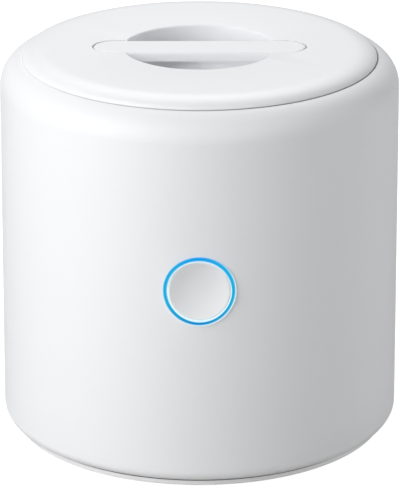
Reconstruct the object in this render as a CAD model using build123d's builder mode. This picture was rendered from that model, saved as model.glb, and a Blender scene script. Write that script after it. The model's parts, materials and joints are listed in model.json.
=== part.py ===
from build123d import *
import os
from math import cos, pi, radians, sin, tan

os.makedirs("parts", exist_ok=True)

# Portable UV steriliser pot, in millimetres.
# Z is up, the origin is under the middle of the feet, and the button faces -Y.

# Outer form
wall_top_radius = 44.8  # wall line carried up to the crest of the shoulder
wall_draft = 0.45  # how much wider the wall is at the foot
crest_z = 86.9  # highest point of the shoulder's round
shoulder_radius = 6.3
foot_fillet = 2.8
shell_wall = 2.7

# Foot
foot_proud = 0.4  # rubber feet below the base cover
base_ring_height = 1.2
base_ring_inset = 2.55  # from the wall at the foot in to the ring's edge
base_seam = 0.3
base_floor = 2.0
base_edge_fillet = 0.4
spigot_height = 4.4
spigot_wall = 1.6
spigot_gap = 0.1

# Lid seat in the shell
lid_inset = 5.6  # from the wall line in to the lid's edge
lid_gap = 0.3
seat_depth = 4.5  # from the crest down to the ledge
ledge_thickness = 2.2
ceiling_fillet = 3.0
seat_edge_fillet = 0.3

# Chamber
button_bay = 7.1  # room between the shell's bore and the chamber liner
liner_wall = 1.0
liner_flange = 4.4
liner_hang_gap = 0.4
liner_floor_fillet = 3.0
rim_fit = 0.1
rim_land = 1.0  # rim above the liner's flange, under the lid's skirt
seal_land = 0.5  # rim above the liner's flange, under the seal
seal_land_width = 2.5
key_width = 4.0
key_depth = 0.8
key_gap = 0.3

# Lid
lid_proud = 1.9  # above the crest
lid_rest_gap = 0.2
lid_edge_round = 3.0
lid_top_wall = 2.0
lid_skirt_wall = 1.8
well_depth = 10.0
well_wall = 1.5
well_floor_fillet = 1.0
well_rim_round = 0.5
bar_length = 47.8
bar_seat_length = 7.0  # bar's tip beyond the well's wall
bar_width = 9.2
bar_thickness = 2.1
bar_edge_round = 0.6
bar_gap = 0.2
bar_pad_thickness = 1.6
bar_pad_margin = 1.6
bar_peg_radius = 1.6
bar_peg_inset = 3.0  # from the bar's tip in to the peg's axis
plug_gap = 0.5
plug_wall = 1.5
plug_floor = 2.0
plug_flange_thickness = 1.4
plug_flange_gap = 0.2
plug_edge_fillet = 1.0
reflector_thickness = 0.6
reflector_margin = 2.3
reflector_fit = 0.1
seal_width = 1.9
seal_groove_depth = 0.5
seal_hang = 0.4
seal_side_gap = 0.2
seal_fit = 0.05
seal_round = 0.35
lid_boss_radius = 3.0
lid_boss_margin = 3.0  # from the plug's wall in to the bosses
magnet_radius = 2.5
magnet_height = 2.5
magnet_wall = 1.2
magnet_fit = 0.1
magnet_embed = 0.5  # how far the magnet's ring runs into the plug's wall

# Button in the front wall
button_z = 47.3
ring_outer_radius = 7.75
ring_inner_radius = 6.9
ring_fit = 0.05
ring_proud = 0.5
ring_slope = 0.5
ring_flange_radius = 9.0
ring_flange_thickness = 0.8
ring_seat_depth = 1.1  # from the shell's bore in to the ring's seat
collar_radius = 10.4
cap_fit = 0.08
cap_sink = 0.2  # rim of the cap behind the wall's surface
cap_dish_depth = 0.9
cap_dish_rim = 0.4
cap_face_thickness = 0.9
cap_skirt_wall = 1.1
cap_hook_reach = 1.0
cap_hook_thickness = 0.7
cap_hook_width = 5.0
cap_post_radius = 2.0
cap_edge_round = 0.25
button_travel = 0.5

# Button module behind the wall
guide_width = 24.0
guide_height = 30.0
guide_thickness = 2.2
guide_corner = 3.0
guide_hole_gap = 0.4
guide_screw_pitch_x = 19.0
guide_screw_pitch_z = 24.0
guide_boss_radius = 2.2
guide_boss_length = 2.4
button_board_thickness = 1.2
button_board_tongue = 10.0
button_board_gap = 0.2
switch_size = 6.0
switch_height = 2.5
switch_corner = 0.5
plunger_radius = 1.7
plunger_fit = 0.1
plunger_height = 1.0
plunger_sunk = 0.7  # length of the plunger inside its well at rest
plunger_end_gap = 0.1
ring_led_length = 1.6
ring_led_width = 0.8
ring_led_height = 0.6
ring_led_count = 6
ring_led_gap = 0.2  # from the guide's hole in to the lamps
hall_width = 3.0
hall_length = 1.4
hall_height = 1.1
hall_margin = 2.5  # from the board's upper end down to the sensor

# Battery
cell_radius = 9.15
cell_length = 65.0
cell_pole_radius = 3.4
cell_pole_height = 0.4
cell_edge_round = 0.6
cell_groove_inset = 2.6  # from the pole end of the can to the crimp groove
cell_groove_width = 1.2
cell_groove_depth = 0.5
cell_seat_gap = 0.15
cell_headroom = 1.2
cradle_floor = 1.2
cradle_wall = 1.5
cradle_corner = 1.2
cradle_depth = 0.8  # how far the cradle's sides stand above the cell's axis
cradle_ear = 5.6
cradle_ear_width = 6.0
cradle_ear_thickness = 1.6
cradle_pad_radius = 2.6
cradle_pad_height = 2.5
tab_thickness = 0.4
tab_width = 7.0
tab_gap = 0.2
tab_foot_drop = 5.0

# Main board
board_thickness = 1.6
board_edge_gap = 2.1  # from the shell's bore in to the board's edge
board_notch_gap = 0.5
post_edge_gap = 10.0  # from the board's edge in to the posts' axes
post_angle = 37.0
post_radius = 3.0
chip_height = 0.9
capacitor_radius = 3.15
capacitor_height = 5.4
capacitor_round = 0.5
inductor_size = 7.0
inductor_height = 3.6
inductor_corner = 1.4
chip_places = [
    (-14, 11, 7, 7),
    (12, 9, 5, 5),
    (10, 27, 4, 4),
    (-5, -9, 3, 3),
    (7, -22, 4, 5),
]  # x, y, length, width
capacitor_edge_gap = 10.0  # from the board's edge in to the capacitors' axes
capacitor_pitch = 9.0
inductor_edge_gap = 11.0

# Charging inlet in the rear wall
port_width = 12.4
port_height = 6.8
port_edge_round = 0.4
usb_width = 8.94
usb_height = 3.2
usb_length = 7.3
usb_skin = 0.32
usb_depth = 6.2
usb_set_back = 0.2  # mouth inside the shell's bore
tongue_width = 6.7
tongue_thickness = 0.7
tongue_length = 5.0
bezel_width = 17.0
bezel_height = 9.0
bezel_thickness = 1.0
bezel_corner = 2.0
bezel_fit = 0.08
bezel_gap = 0.1

# Lamp stack under the chamber
board_to_spreader = 2.15
spreader_thickness = 2.0
spreader_edge = 0.3
lamp_board_margin = 1.0  # lamp board beyond the window's edge
lamp_board_thickness = 1.6
lamp_board_fit = 0.1
lamp_tongue_width = 6.0
lamp_tongue_length = 8.0
lamp_size = 3.5
lamp_height = 0.8
lamp_dome_radius = 1.2
lamp_dome_height = 0.3
lamp_pitch = 9.0
lamp_lip = 1.6  # holder between the lamp board and the window
window_radius = 13.0
window_thickness = 1.5
window_fit = 0.1
window_ledge = 1.3
window_edge = 0.2
gasket_thickness = 0.5
stud_wall = 1.7  # holder wall between the window and the studs
stud_radius = 2.0
holder_margin = 1.3  # holder wall outside the studs
stud_fit = 0.1
lead_radius = 0.4
lead_pitch = 2.6
lead_pad_gap = 0.5
connector_width = 7.0
connector_length = 4.0
connector_height = 2.8
connector_margin = 2.0  # from the board's edge in to the connector
header_width = 12.0
header_length = 2.5
header_height = 2.5

# Soother stand
stand_fit = 0.1
stand_lift = 4.0
stand_thickness = 2.0
stand_bar = 1.6
stand_outer_width = 2.2
stand_middle_radius = 19.0
stand_inner_radius = 8.0
stand_spokes = 6
stand_leg_radius = 1.4
stand_leg_inset = 5.0

# Screws and feet
small_shank = 0.9
small_head = 1.8
small_head_height = 1.0
large_shank = 1.2
large_head = 2.3
large_head_height = 1.3
thread_fit = 0.05
hole_gap = 0.2
head_gap = 0.1
boss_radius = 3.6
boss_embed = 0.6
boss_height = 13.0
boss_pad = 2.0
boss_pad_inset = 0.3
board_screw_length = 5.0  # below the board
cradle_screw_length = 4.6
base_screw_length = 11.0
holder_screw_grip = 3.5
lid_screw_grip = 7.5
bar_screw_grip = 2.6
foot_radius = 4.0
foot_thickness = 1.2
foot_fit = 0.1
foot_round = 0.3
foot_margin = 5.7  # from the base ring's edge in to a foot

# Levels and radii that follow from the sizes above
wall_foot_radius = wall_top_radius + wall_draft
bore_radius = wall_top_radius - shell_wall
cover_z = foot_proud
shell_foot_z = cover_z + base_ring_height + base_seam
floor_z = cover_z + base_floor
base_ring_radius = wall_foot_radius - base_ring_inset
spigot_radius = bore_radius - spigot_gap
boss_pitch_radius = bore_radius - boss_radius + boss_embed
boss_foot_z = floor_z + boss_pad
foot_pitch_radius = base_ring_radius - foot_margin - foot_radius
base_pad_radius = spigot_radius - boss_pitch_radius - boss_pad_inset

cell_z = floor_z + cradle_floor + cell_seat_gap + cell_radius
cradle_half_width = cell_radius + cell_seat_gap + cradle_wall
cradle_screw_y = cradle_half_width + cradle_ear - cradle_ear_width / 2
cradle_ear_z = floor_z + cradle_pad_height
cell_bay_length = cell_length + 2 * (tab_thickness + tab_gap)
board_z = cell_z + cell_radius + cell_headroom
board_top_z = board_z + board_thickness
board_radius = bore_radius - board_edge_gap
post_pitch_radius = board_radius - post_edge_gap
post_pitch_x = 2 * post_pitch_radius * cos(radians(post_angle))
post_pitch_y = 2 * post_pitch_radius * sin(radians(post_angle))
connector_front_y = board_radius - connector_margin - connector_length

spreader_z = board_top_z + board_to_spreader
lamp_board_z = spreader_z + spreader_thickness
lamp_board_top_z = lamp_board_z + lamp_board_thickness
window_z = lamp_board_top_z + lamp_lip
gasket_z = window_z + window_thickness
liner_z = gasket_z + gasket_thickness
chamber_floor_z = liner_z + liner_wall
window_aperture_radius = window_radius - window_ledge
lamp_board_radius = window_radius + lamp_board_margin
stud_pitch_radius = window_radius + window_fit + stud_wall + stud_fit + stud_radius
holder_radius = stud_pitch_radius + stud_radius + holder_margin

liner_radius = bore_radius - button_bay
chamber_radius = liner_radius - liner_wall
ledge_z = crest_z - seat_depth
ceiling_z = ledge_z - ledge_thickness
ledge_opening_radius = liner_radius + liner_hang_gap
liner_flange_radius = chamber_radius + liner_flange
flange_top_z = ledge_z + liner_wall
rim_top_z = flange_top_z + rim_land
seal_land_z = flange_top_z + seal_land
seal_land_radius = chamber_radius + seal_land_width

lid_radius = wall_top_radius - lid_inset
seat_radius = lid_radius + lid_gap
lid_top_z = crest_z + lid_proud
skirt_z = rim_top_z + lid_rest_gap
lid_ceiling_z = lid_top_z - lid_top_wall
skirt_bore_radius = lid_radius - lid_skirt_wall
well_radius = bar_length / 2 - bar_seat_length
well_floor_z = lid_top_z - well_depth
well_bottom_z = well_floor_z - well_wall
bar_z = lid_top_z - bar_thickness
bar_pad_z = bar_z - bar_pad_thickness
bar_peg_x = bar_length / 2 - bar_peg_inset
plug_radius = chamber_radius - plug_gap
lid_boss_pitch_radius = plug_radius - plug_wall - lid_boss_margin - lid_boss_radius
plug_flange_z = skirt_z + plug_flange_thickness
plug_z = well_bottom_z - plug_floor - reflector_thickness
plug_ceiling_z = plug_z + reflector_thickness
seal_inner_radius = plug_radius + seal_side_gap
reflector_radius = plug_radius - reflector_margin
magnet_y = -(plug_radius - plug_wall + magnet_embed - magnet_wall - magnet_radius)

ring_seat_d = bore_radius - ring_seat_depth
guide_front_d = ring_seat_d - ring_flange_thickness
button_board_front_d = guide_front_d - guide_thickness
button_board_back_d = button_board_front_d - button_board_thickness
switch_front_d = button_board_front_d + switch_height
plunger_front_d = switch_front_d + plunger_height
plunger_well = plunger_sunk + button_travel + plunger_end_gap
cap_radius = ring_inner_radius - cap_fit
cap_bore_radius = cap_radius - cap_skirt_wall
cap_hook_front_d = guide_front_d - hole_gap / 2
cap_hook_radius = cap_radius + cap_hook_reach
guide_hole_radius = cap_hook_radius + guide_hole_gap
ring_led_pitch_radius = guide_hole_radius - ring_led_gap - ring_led_width / 2
button_board_foot_z = board_top_z + button_board_gap
button_board_head_z = ceiling_z - button_board_thickness
guide_top_z = button_z + guide_height / 2

usb_z = board_z - usb_height / 2
usb_mouth_y = bore_radius - usb_set_back
bezel_back_y = board_radius + bezel_gap


def wall_radius(z):
    """Outer radius of the drafted wall at height z."""
    return wall_foot_radius - wall_draft * (z - shell_foot_z) / (crest_z - shell_foot_z)


def front_plane(distance, z=button_z):
    """Plane that faces forwards, at a distance in front of the axis. Its Y runs up."""
    return Plane(origin=(0, -distance, z), x_dir=(1, 0, 0), z_dir=(0, -1, 0))


def rear_plane(distance, z=usb_z):
    """Plane that faces backwards, at a distance behind the axis. Its Y runs up."""
    return Plane(origin=(0, distance, z), x_dir=(-1, 0, 0), z_dir=(0, 1, 0))


def level(z):
    """Horizontal plane at height z."""
    return Plane.XY.offset(z)


def level_down(z):
    """Horizontal plane at height z that faces down."""
    return Plane(origin=(0, 0, z), x_dir=(1, 0, 0), z_dir=(0, 0, -1))


def polar_points(radius, count, start=0):
    """Points spread evenly round a circle, the first at the start angle in degrees."""
    angles = [radians(start + 360 * index / count) for index in range(count)]
    return [(radius * cos(angle), radius * sin(angle)) for angle in angles]


def corner_points(pitch_x, pitch_y):
    """The four corners of a rectangle round the origin."""
    return [(x * pitch_x / 2, y * pitch_y / 2) for x in (-1, 1) for y in (-1, 1)]


def screws(plane, points, shank_radius, head_radius, head_height, length):
    """Screws along the plane's normal, the undersides of their heads on the plane."""
    with BuildPart() as group:
        with BuildSketch(plane):
            with Locations(*points):
                Circle(shank_radius)
        extrude(amount=length)
        with BuildSketch(plane):
            with Locations(*points):
                Circle(head_radius)
        extrude(amount=-head_height)
    return group


# Outer shell: drafted wall, rounded shoulder, lid seat, ledge and inner bosses
cap_face_d = wall_radius(button_z) - cap_sink

with BuildPart() as outer_shell:
    with BuildSketch(Plane.XZ):
        with BuildLine():
            Polyline(
                (0, shell_foot_z),
                (wall_foot_radius, shell_foot_z),
                (wall_top_radius, crest_z),
                (0, crest_z),
                close=True,
            )
        make_face()
        fillet(vertices().group_by(Axis.Y)[0].sort_by(Axis.X)[-1], foot_fillet)
        fillet(vertices().group_by(Axis.Y)[-1].sort_by(Axis.X)[-1], shoulder_radius)
    revolve(axis=Axis.Z)
    with BuildSketch(Plane.XZ):
        with BuildLine():
            Polyline((0, 0), (bore_radius, 0), (bore_radius, ceiling_z), (0, ceiling_z), close=True)
        make_face()
        fillet(vertices().group_by(Axis.Y)[-1].sort_by(Axis.X)[-1], ceiling_fillet)
    revolve(axis=Axis.Z, mode=Mode.SUBTRACT)
    with BuildSketch(level(ledge_z)):
        Circle(seat_radius)
    extrude(amount=lid_top_z - ledge_z, mode=Mode.SUBTRACT)
    fillet(edges().filter_by(GeomType.CIRCLE).sort_by(Axis.Z)[-1], seat_edge_fillet)
    with BuildSketch(level(ceiling_z)):
        Circle(ledge_opening_radius)
    extrude(amount=ledge_thickness, mode=Mode.SUBTRACT)
    # Collar and screw bosses that carry the button module
    with BuildSketch(front_plane(ring_seat_d)):
        Circle(collar_radius)
    extrude(amount=ring_seat_depth + shell_wall / 2)
    with BuildSketch(front_plane(guide_front_d)):
        with GridLocations(guide_screw_pitch_x, guide_screw_pitch_z, 2, 2):
            Circle(guide_boss_radius)
    extrude(amount=guide_boss_length)
    with BuildSketch(front_plane(guide_front_d)):
        with GridLocations(guide_screw_pitch_x, guide_screw_pitch_z, 2, 2):
            Circle(small_shank + thread_fit)
    extrude(amount=guide_boss_length - hole_gap, mode=Mode.SUBTRACT)
    with BuildSketch(front_plane(ring_seat_d)):
        Circle(ring_outer_radius + ring_fit)
    extrude(amount=wall_foot_radius, mode=Mode.SUBTRACT)
    # Bosses for the base screws
    with BuildSketch(level(boss_foot_z)):
        with PolarLocations(boss_pitch_radius, 4, start_angle=45):
            Circle(boss_radius)
    extrude(amount=boss_height)
    with BuildSketch(level(boss_foot_z)):
        with PolarLocations(boss_pitch_radius, 4, start_angle=45):
            Circle(large_shank + thread_fit)
    extrude(amount=base_screw_length, mode=Mode.SUBTRACT)
    # Opening for the charging inlet
    with BuildSketch(rear_plane(bore_radius - shell_wall)):
        SlotOverall(port_width, port_height)
    extrude(amount=wall_foot_radius, mode=Mode.SUBTRACT)
    port_mouth = edges().filter_by_position(Axis.Y, bore_radius + shell_wall / 2, wall_foot_radius)
    port_mouth = port_mouth.filter_by_position(Axis.Z, usb_z - port_height, usb_z + port_height)
    fillet(port_mouth, port_edge_round)

# Base cover: foot ring, floor, spigot, board posts and recesses for feet and screws
base_screw_points = polar_points(boss_pitch_radius, 4, 45)
foot_points = polar_points(foot_pitch_radius, 4)
post_points = corner_points(post_pitch_x, post_pitch_y)
cradle_screw_points = [(0, -cradle_screw_y), (0, cradle_screw_y)]

with BuildPart() as base_cover:
    with BuildSketch(level(cover_z)):
        Circle(base_ring_radius)
    extrude(amount=base_ring_height)
    fillet(edges().group_by(Axis.Z)[0], base_edge_fillet)
    with BuildSketch(level(cover_z)):
        Circle(spigot_radius - spigot_wall)
    extrude(amount=base_floor)
    with BuildSketch(level(cover_z + base_ring_height)):
        Circle(spigot_radius)
        Circle(spigot_radius - spigot_wall, mode=Mode.SUBTRACT)
    extrude(amount=spigot_height)
    with BuildSketch(level(floor_z)):
        with Locations(*base_screw_points):
            Circle(boss_radius + board_notch_gap)
    extrude(amount=spigot_height, mode=Mode.SUBTRACT)
    with BuildSketch(level(floor_z)):
        with Locations(*base_screw_points):
            Circle(base_pad_radius)
    extrude(amount=boss_foot_z - floor_z)
    with BuildSketch(level(floor_z)):
        with Locations(*post_points):
            Circle(post_radius)
    extrude(amount=board_z - floor_z)
    with BuildSketch(level(floor_z)):
        with Locations(*cradle_screw_points):
            Circle(cradle_pad_radius)
    extrude(amount=cradle_pad_height)
    with BuildSketch(level(cover_z)):
        with Locations(*foot_points):
            Circle(foot_radius + foot_fit)
    extrude(amount=foot_thickness - foot_proud, mode=Mode.SUBTRACT)
    with BuildSketch(level(cover_z)):
        with Locations(*base_screw_points):
            Circle(large_head + head_gap)
    extrude(amount=large_head_height + head_gap, mode=Mode.SUBTRACT)
    with BuildSketch(level(cover_z)):
        with Locations(*base_screw_points):
            Circle(large_shank + hole_gap)
    extrude(amount=boss_foot_z - cover_z, mode=Mode.SUBTRACT)
    with BuildSketch(level_down(board_z)):
        with Locations(*post_points):
            Circle(small_shank + thread_fit)
    extrude(amount=board_screw_length, mode=Mode.SUBTRACT)
    with BuildSketch(level_down(cradle_ear_z)):
        with Locations(*cradle_screw_points):
            Circle(small_shank + thread_fit)
    extrude(amount=cradle_screw_length - cradle_ear_thickness + hole_gap, mode=Mode.SUBTRACT)

# Rubber feet in the cover's recesses
with BuildPart() as rubber_feet:
    with BuildSketch(level(0)):
        with Locations(*foot_points):
            Circle(foot_radius)
    extrude(amount=foot_thickness)
    fillet(edges().group_by(Axis.Z)[0], foot_round)

base_screws = screws(
    level(cover_z + large_head_height + head_gap),
    base_screw_points,
    large_shank,
    large_head,
    large_head_height,
    base_screw_length,
)

# Battery: cell, cradle that is screwed to the floor, and the welded tabs up to the board
with BuildPart() as battery_cell:
    with BuildSketch(Plane.YZ.offset(-cell_length / 2)):
        with Locations((0, cell_z)):
            Circle(cell_radius)
    extrude(amount=cell_length - cell_pole_height)
    fillet(edges().filter_by(GeomType.CIRCLE), cell_edge_round)
    with BuildSketch(Plane.YZ.offset(cell_length / 2 - cell_pole_height)):
        with Locations((0, cell_z)):
            Circle(cell_pole_radius)
    extrude(amount=cell_pole_height)
    with BuildSketch(Plane.YZ.offset(cell_length / 2 - cell_pole_height - cell_groove_inset)):
        with Locations((0, cell_z)):
            Circle(cell_radius)
            Circle(cell_radius - cell_groove_depth, mode=Mode.SUBTRACT)
    extrude(amount=-cell_groove_width, mode=Mode.SUBTRACT)

with BuildPart() as battery_cradle:
    with BuildSketch(level(floor_z)):
        RectangleRounded(cell_bay_length + 2 * cradle_wall, 2 * cradle_half_width, cradle_corner)
    extrude(amount=cell_z + cradle_depth - floor_z)
    with BuildSketch(level(cradle_ear_z)):
        SlotOverall(2 * (cradle_half_width + cradle_ear), cradle_ear_width, rotation=90)
    extrude(amount=cradle_ear_thickness)
    with BuildSketch(Plane.YZ.offset(-cell_bay_length / 2)):
        with Locations((0, cell_z)):
            Circle(cell_radius + cell_seat_gap)
    extrude(amount=cell_bay_length, mode=Mode.SUBTRACT)
    with BuildSketch(level(cradle_ear_z)):
        with Locations(*cradle_screw_points):
            Circle(small_shank + hole_gap)
    extrude(amount=cradle_ear_thickness, mode=Mode.SUBTRACT)

with BuildPart() as battery_tabs:
    with BuildSketch(level(cell_z - tab_foot_drop)):
        with GridLocations(cell_length + tab_thickness, 0, 2, 1):
            Rectangle(tab_thickness, tab_width)
    extrude(amount=board_z - cell_z + tab_foot_drop)

cradle_screws = screws(
    level_down(cradle_ear_z + cradle_ear_thickness),
    cradle_screw_points,
    small_shank,
    small_head,
    small_head_height,
    cradle_screw_length,
)

# Main board, notched round the shell's bosses, and what is soldered to it
with BuildPart() as main_board:
    with BuildSketch(level(board_z)):
        Circle(board_radius)
        with Locations(*base_screw_points):
            Circle(boss_radius + board_notch_gap, mode=Mode.SUBTRACT)
        with Locations(*post_points):
            Circle(small_shank + hole_gap, mode=Mode.SUBTRACT)
    extrude(amount=board_thickness)

board_screws = screws(
    level_down(board_top_z),
    post_points,
    small_shank,
    small_head,
    small_head_height,
    board_thickness + board_screw_length - hole_gap,
)

with BuildPart() as board_chips:
    for x, y, length, width in chip_places:
        with BuildSketch(level(board_top_z)):
            with Locations((x, y)):
                Rectangle(length, width)
        extrude(amount=chip_height)

with BuildPart() as board_capacitors:
    with BuildSketch(level(board_top_z)):
        with Locations((capacitor_edge_gap - board_radius, 0)):
            with GridLocations(0, capacitor_pitch, 1, 2):
                Circle(capacitor_radius)
    extrude(amount=capacitor_height)
    fillet(edges().group_by(Axis.Z)[-1], capacitor_round)

with BuildPart() as board_inductor:
    with BuildSketch(level(board_top_z)):
        with Locations((board_radius - inductor_edge_gap, 0)):
            RectangleRounded(inductor_size, inductor_size, inductor_corner)
    extrude(amount=inductor_height)

with BuildPart() as lead_connector:
    with BuildSketch(level(board_top_z)):
        with Locations((0, connector_front_y + connector_length / 2)):
            Rectangle(connector_width, connector_length)
    extrude(amount=connector_height)

with BuildPart() as board_header:
    with BuildSketch(level(board_top_z)):
        with Locations((0, header_length / 2 - button_board_back_d)):
            Rectangle(header_width, header_length)
    extrude(amount=header_height)

# Charging inlet: a hollow socket under the main board, its tongue, and the bezel round it
with BuildPart() as usb_socket:
    with BuildSketch(rear_plane(usb_mouth_y - usb_length)):
        SlotOverall(usb_width, usb_height)
    extrude(amount=usb_length)
    with BuildSketch(rear_plane(usb_mouth_y - usb_depth)):
        SlotOverall(usb_width - 2 * usb_skin, usb_height - 2 * usb_skin)
    extrude(amount=usb_depth, mode=Mode.SUBTRACT)

with BuildPart() as usb_tongue:
    with BuildSketch(rear_plane(usb_mouth_y - usb_depth)):
        Rectangle(tongue_width, tongue_thickness)
    extrude(amount=tongue_length)

with BuildPart() as port_bezel:
    with BuildSketch(rear_plane(bezel_back_y)):
        RectangleRounded(bezel_width, bezel_height, bezel_corner)
        SlotOverall(usb_width + 2 * bezel_fit, usb_height + 2 * bezel_fit, mode=Mode.SUBTRACT)
    extrude(amount=bezel_thickness)

# Chamber liner: a drawn cup that hangs by its flange, with studs for the lamp stack
stud_points = polar_points(stud_pitch_radius, 3, 30)

with BuildPart() as chamber_liner:
    with BuildSketch(Plane.XZ):
        with BuildLine():
            Polyline(
                (window_aperture_radius, liner_z),
                (liner_radius, liner_z),
                (liner_radius, ledge_z),
                (liner_flange_radius, ledge_z),
                (liner_flange_radius, flange_top_z),
                (chamber_radius, flange_top_z),
                (chamber_radius, chamber_floor_z),
                (window_aperture_radius, chamber_floor_z),
                close=True,
            )
        make_face()
        fillet(vertices().sort_by_distance((liner_radius, liner_z))[0], liner_floor_fillet + liner_wall)
        fillet(vertices().sort_by_distance((chamber_radius, chamber_floor_z))[0], liner_floor_fillet)
    revolve(axis=Axis.Z)
    with BuildSketch(level(lamp_board_z)):
        with Locations(*stud_points):
            Circle(stud_radius)
    extrude(amount=liner_z - lamp_board_z)
    with BuildSketch(level(lamp_board_z)):
        with Locations(*stud_points):
            Circle(small_shank + thread_fit)
    extrude(amount=liner_z - lamp_board_z - hole_gap, mode=Mode.SUBTRACT)

# Chamber rim: a ring over the liner's flange, stepped for the seal and notched for the lid's keys
with BuildPart() as chamber_rim:
    with BuildSketch(Plane.XZ):
        with BuildLine():
            Polyline(
                (chamber_radius, flange_top_z),
                (chamber_radius, seal_land_z),
                (seal_land_radius, seal_land_z),
                (seal_land_radius, rim_top_z),
                (seat_radius - rim_fit, rim_top_z),
                (seat_radius - rim_fit, ledge_z),
                (liner_flange_radius + rim_fit, ledge_z),
                (liner_flange_radius + rim_fit, flange_top_z),
                close=True,
            )
        make_face()
    revolve(axis=Axis.Z)
    with BuildSketch(level(flange_top_z)):
        Circle(seat_radius)
        Circle(skirt_bore_radius - key_gap, mode=Mode.SUBTRACT)
        Rectangle(2 * seat_radius, key_width + 2 * key_gap, mode=Mode.INTERSECT)
    extrude(amount=rim_land, mode=Mode.SUBTRACT)

# Window stack under the chamber floor, from the gasket down
with BuildPart() as window_gasket:
    with BuildSketch(level(gasket_z)):
        Circle(window_radius)
        Circle(window_aperture_radius, mode=Mode.SUBTRACT)
    extrude(amount=gasket_thickness)

with BuildPart() as quartz_window:
    with BuildSketch(level(window_z)):
        Circle(window_radius)
    extrude(amount=window_thickness)
    chamfer(edges().filter_by(GeomType.CIRCLE), window_edge)

with BuildPart() as led_holder:
    with BuildSketch(Plane.XZ):
        with BuildLine():
            Polyline(
                (window_aperture_radius, lamp_board_top_z),
                (window_aperture_radius, window_z),
                (window_radius + window_fit, window_z),
                (window_radius + window_fit, liner_z),
                (holder_radius, liner_z),
                (holder_radius, lamp_board_z),
                (lamp_board_radius + lamp_board_fit, lamp_board_z),
                (lamp_board_radius + lamp_board_fit, lamp_board_top_z),
                close=True,
            )
        make_face()
    revolve(axis=Axis.Z)
    with BuildSketch(level(lamp_board_z)):
        with Locations(*stud_points):
            Circle(stud_radius + stud_fit)
    extrude(amount=liner_z - lamp_board_z, mode=Mode.SUBTRACT)
    with BuildSketch(level(lamp_board_z)):
        with Locations((0, holder_radius)):
            Rectangle(lamp_tongue_width + 2 * lamp_board_fit, 2 * (holder_radius - window_radius))
    extrude(amount=lamp_board_thickness + lamp_board_fit, mode=Mode.SUBTRACT)

with BuildPart() as uv_led_board:
    with BuildSketch(level(lamp_board_z)):
        Circle(lamp_board_radius)
        with Locations((0, lamp_board_radius)):
            Rectangle(lamp_tongue_width, 2 * lamp_tongue_length)
    extrude(amount=lamp_board_thickness)

with BuildPart() as uv_leds:
    with BuildSketch(level(lamp_board_top_z)):
        with GridLocations(lamp_pitch, lamp_pitch, 2, 2):
            Rectangle(lamp_size, lamp_size)
    extrude(amount=lamp_height)
    with BuildSketch(level(lamp_board_top_z + lamp_height)):
        with GridLocations(lamp_pitch, lamp_pitch, 2, 2):
            Circle(lamp_dome_radius)
    extrude(amount=lamp_dome_height)

with BuildPart() as heat_spreader:
    with BuildSketch(level(spreader_z)):
        Circle(holder_radius)
        with Locations(*stud_points):
            Circle(small_shank + hole_gap, mode=Mode.SUBTRACT)
    extrude(amount=spreader_thickness)
    chamfer(edges().filter_by(GeomType.CIRCLE).group_by(SortBy.RADIUS)[-1], spreader_edge)

holder_screws = screws(
    level(spreader_z),
    stud_points,
    small_shank,
    small_head,
    small_head_height,
    spreader_thickness + holder_screw_grip,
)

# Leads from the lamp board's tongue down to the connector on the main board
lead_start_y = holder_radius + lead_pad_gap
lead_start_z = lamp_board_top_z + lead_radius
lead_end_z = board_top_z + connector_height / 2
lead_run = (connector_front_y - lead_start_y) / 3
lead_route = [
    (lead_start_y, lead_start_z),
    (lead_start_y + lead_run, lead_start_z),
    (connector_front_y - lead_run, lead_end_z),
    (connector_front_y, lead_end_z),
]


def bend_radii(route):
    """Radius of the arc at each inner point: 0.45 of the shorter run over the tangent of half the turn."""
    points = [Vector(0, y, z) for y, z in route]
    radii = []
    for before, corner, after in zip(points, points[1:], points[2:]):
        run_in = corner - before
        run_out = after - corner
        half_turn = radians(run_in.get_angle(run_out)) / 2
        radii.append(0.45 * min(run_in.length, run_out.length) / tan(half_turn))
    return radii


lead_bends = bend_radii(lead_route)


def lead(x):
    """One lead along the route, at x from the middle."""
    with BuildPart() as wire:
        with BuildLine() as route:
            FilletPolyline(*[(x, y, z) for y, z in lead_route], radius=lead_bends)
        with BuildSketch(Plane(origin=(x, lead_start_y, lead_start_z), x_dir=(1, 0, 0), z_dir=(0, 1, 0))):
            Circle(lead_radius)
        sweep(path=route.line)
    expected = pi * lead_radius**2 * sum(edge.length for edge in route.edges())
    radii = [round(radius, 2) for radius in lead_bends]
    print(f"lead at x {x}: bend radii {radii}")
    print(f"volume {wire.part.volume:.3f}, section times length {expected:.3f}")
    return wire


with BuildPart() as led_leads:
    add(lead(-lead_pitch / 2).part)
    add(lead(lead_pitch / 2).part)

# Soother stand: rings and spokes on three legs, held by the chamber's wall
stand_radius = chamber_radius - stand_fit
stand_z = chamber_floor_z + stand_lift
spoke_start = stand_inner_radius - stand_bar / 2
spoke_end = stand_radius - stand_outer_width / 2

with BuildPart() as soother_stand:
    with BuildSketch(level(stand_z)):
        Circle(stand_radius)
        Circle(stand_radius - stand_outer_width, mode=Mode.SUBTRACT)
        for ring_radius in (stand_middle_radius, stand_inner_radius):
            Circle(ring_radius)
            Circle(ring_radius - stand_bar, mode=Mode.SUBTRACT)
        with PolarLocations((spoke_start + spoke_end) / 2, stand_spokes):
            Rectangle(spoke_end - spoke_start, stand_bar)
    extrude(amount=stand_thickness)
    with BuildSketch(level(chamber_floor_z)):
        with PolarLocations(stand_radius - stand_leg_inset, 3):
            Circle(stand_leg_radius)
    extrude(amount=stand_lift + stand_thickness)

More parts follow.
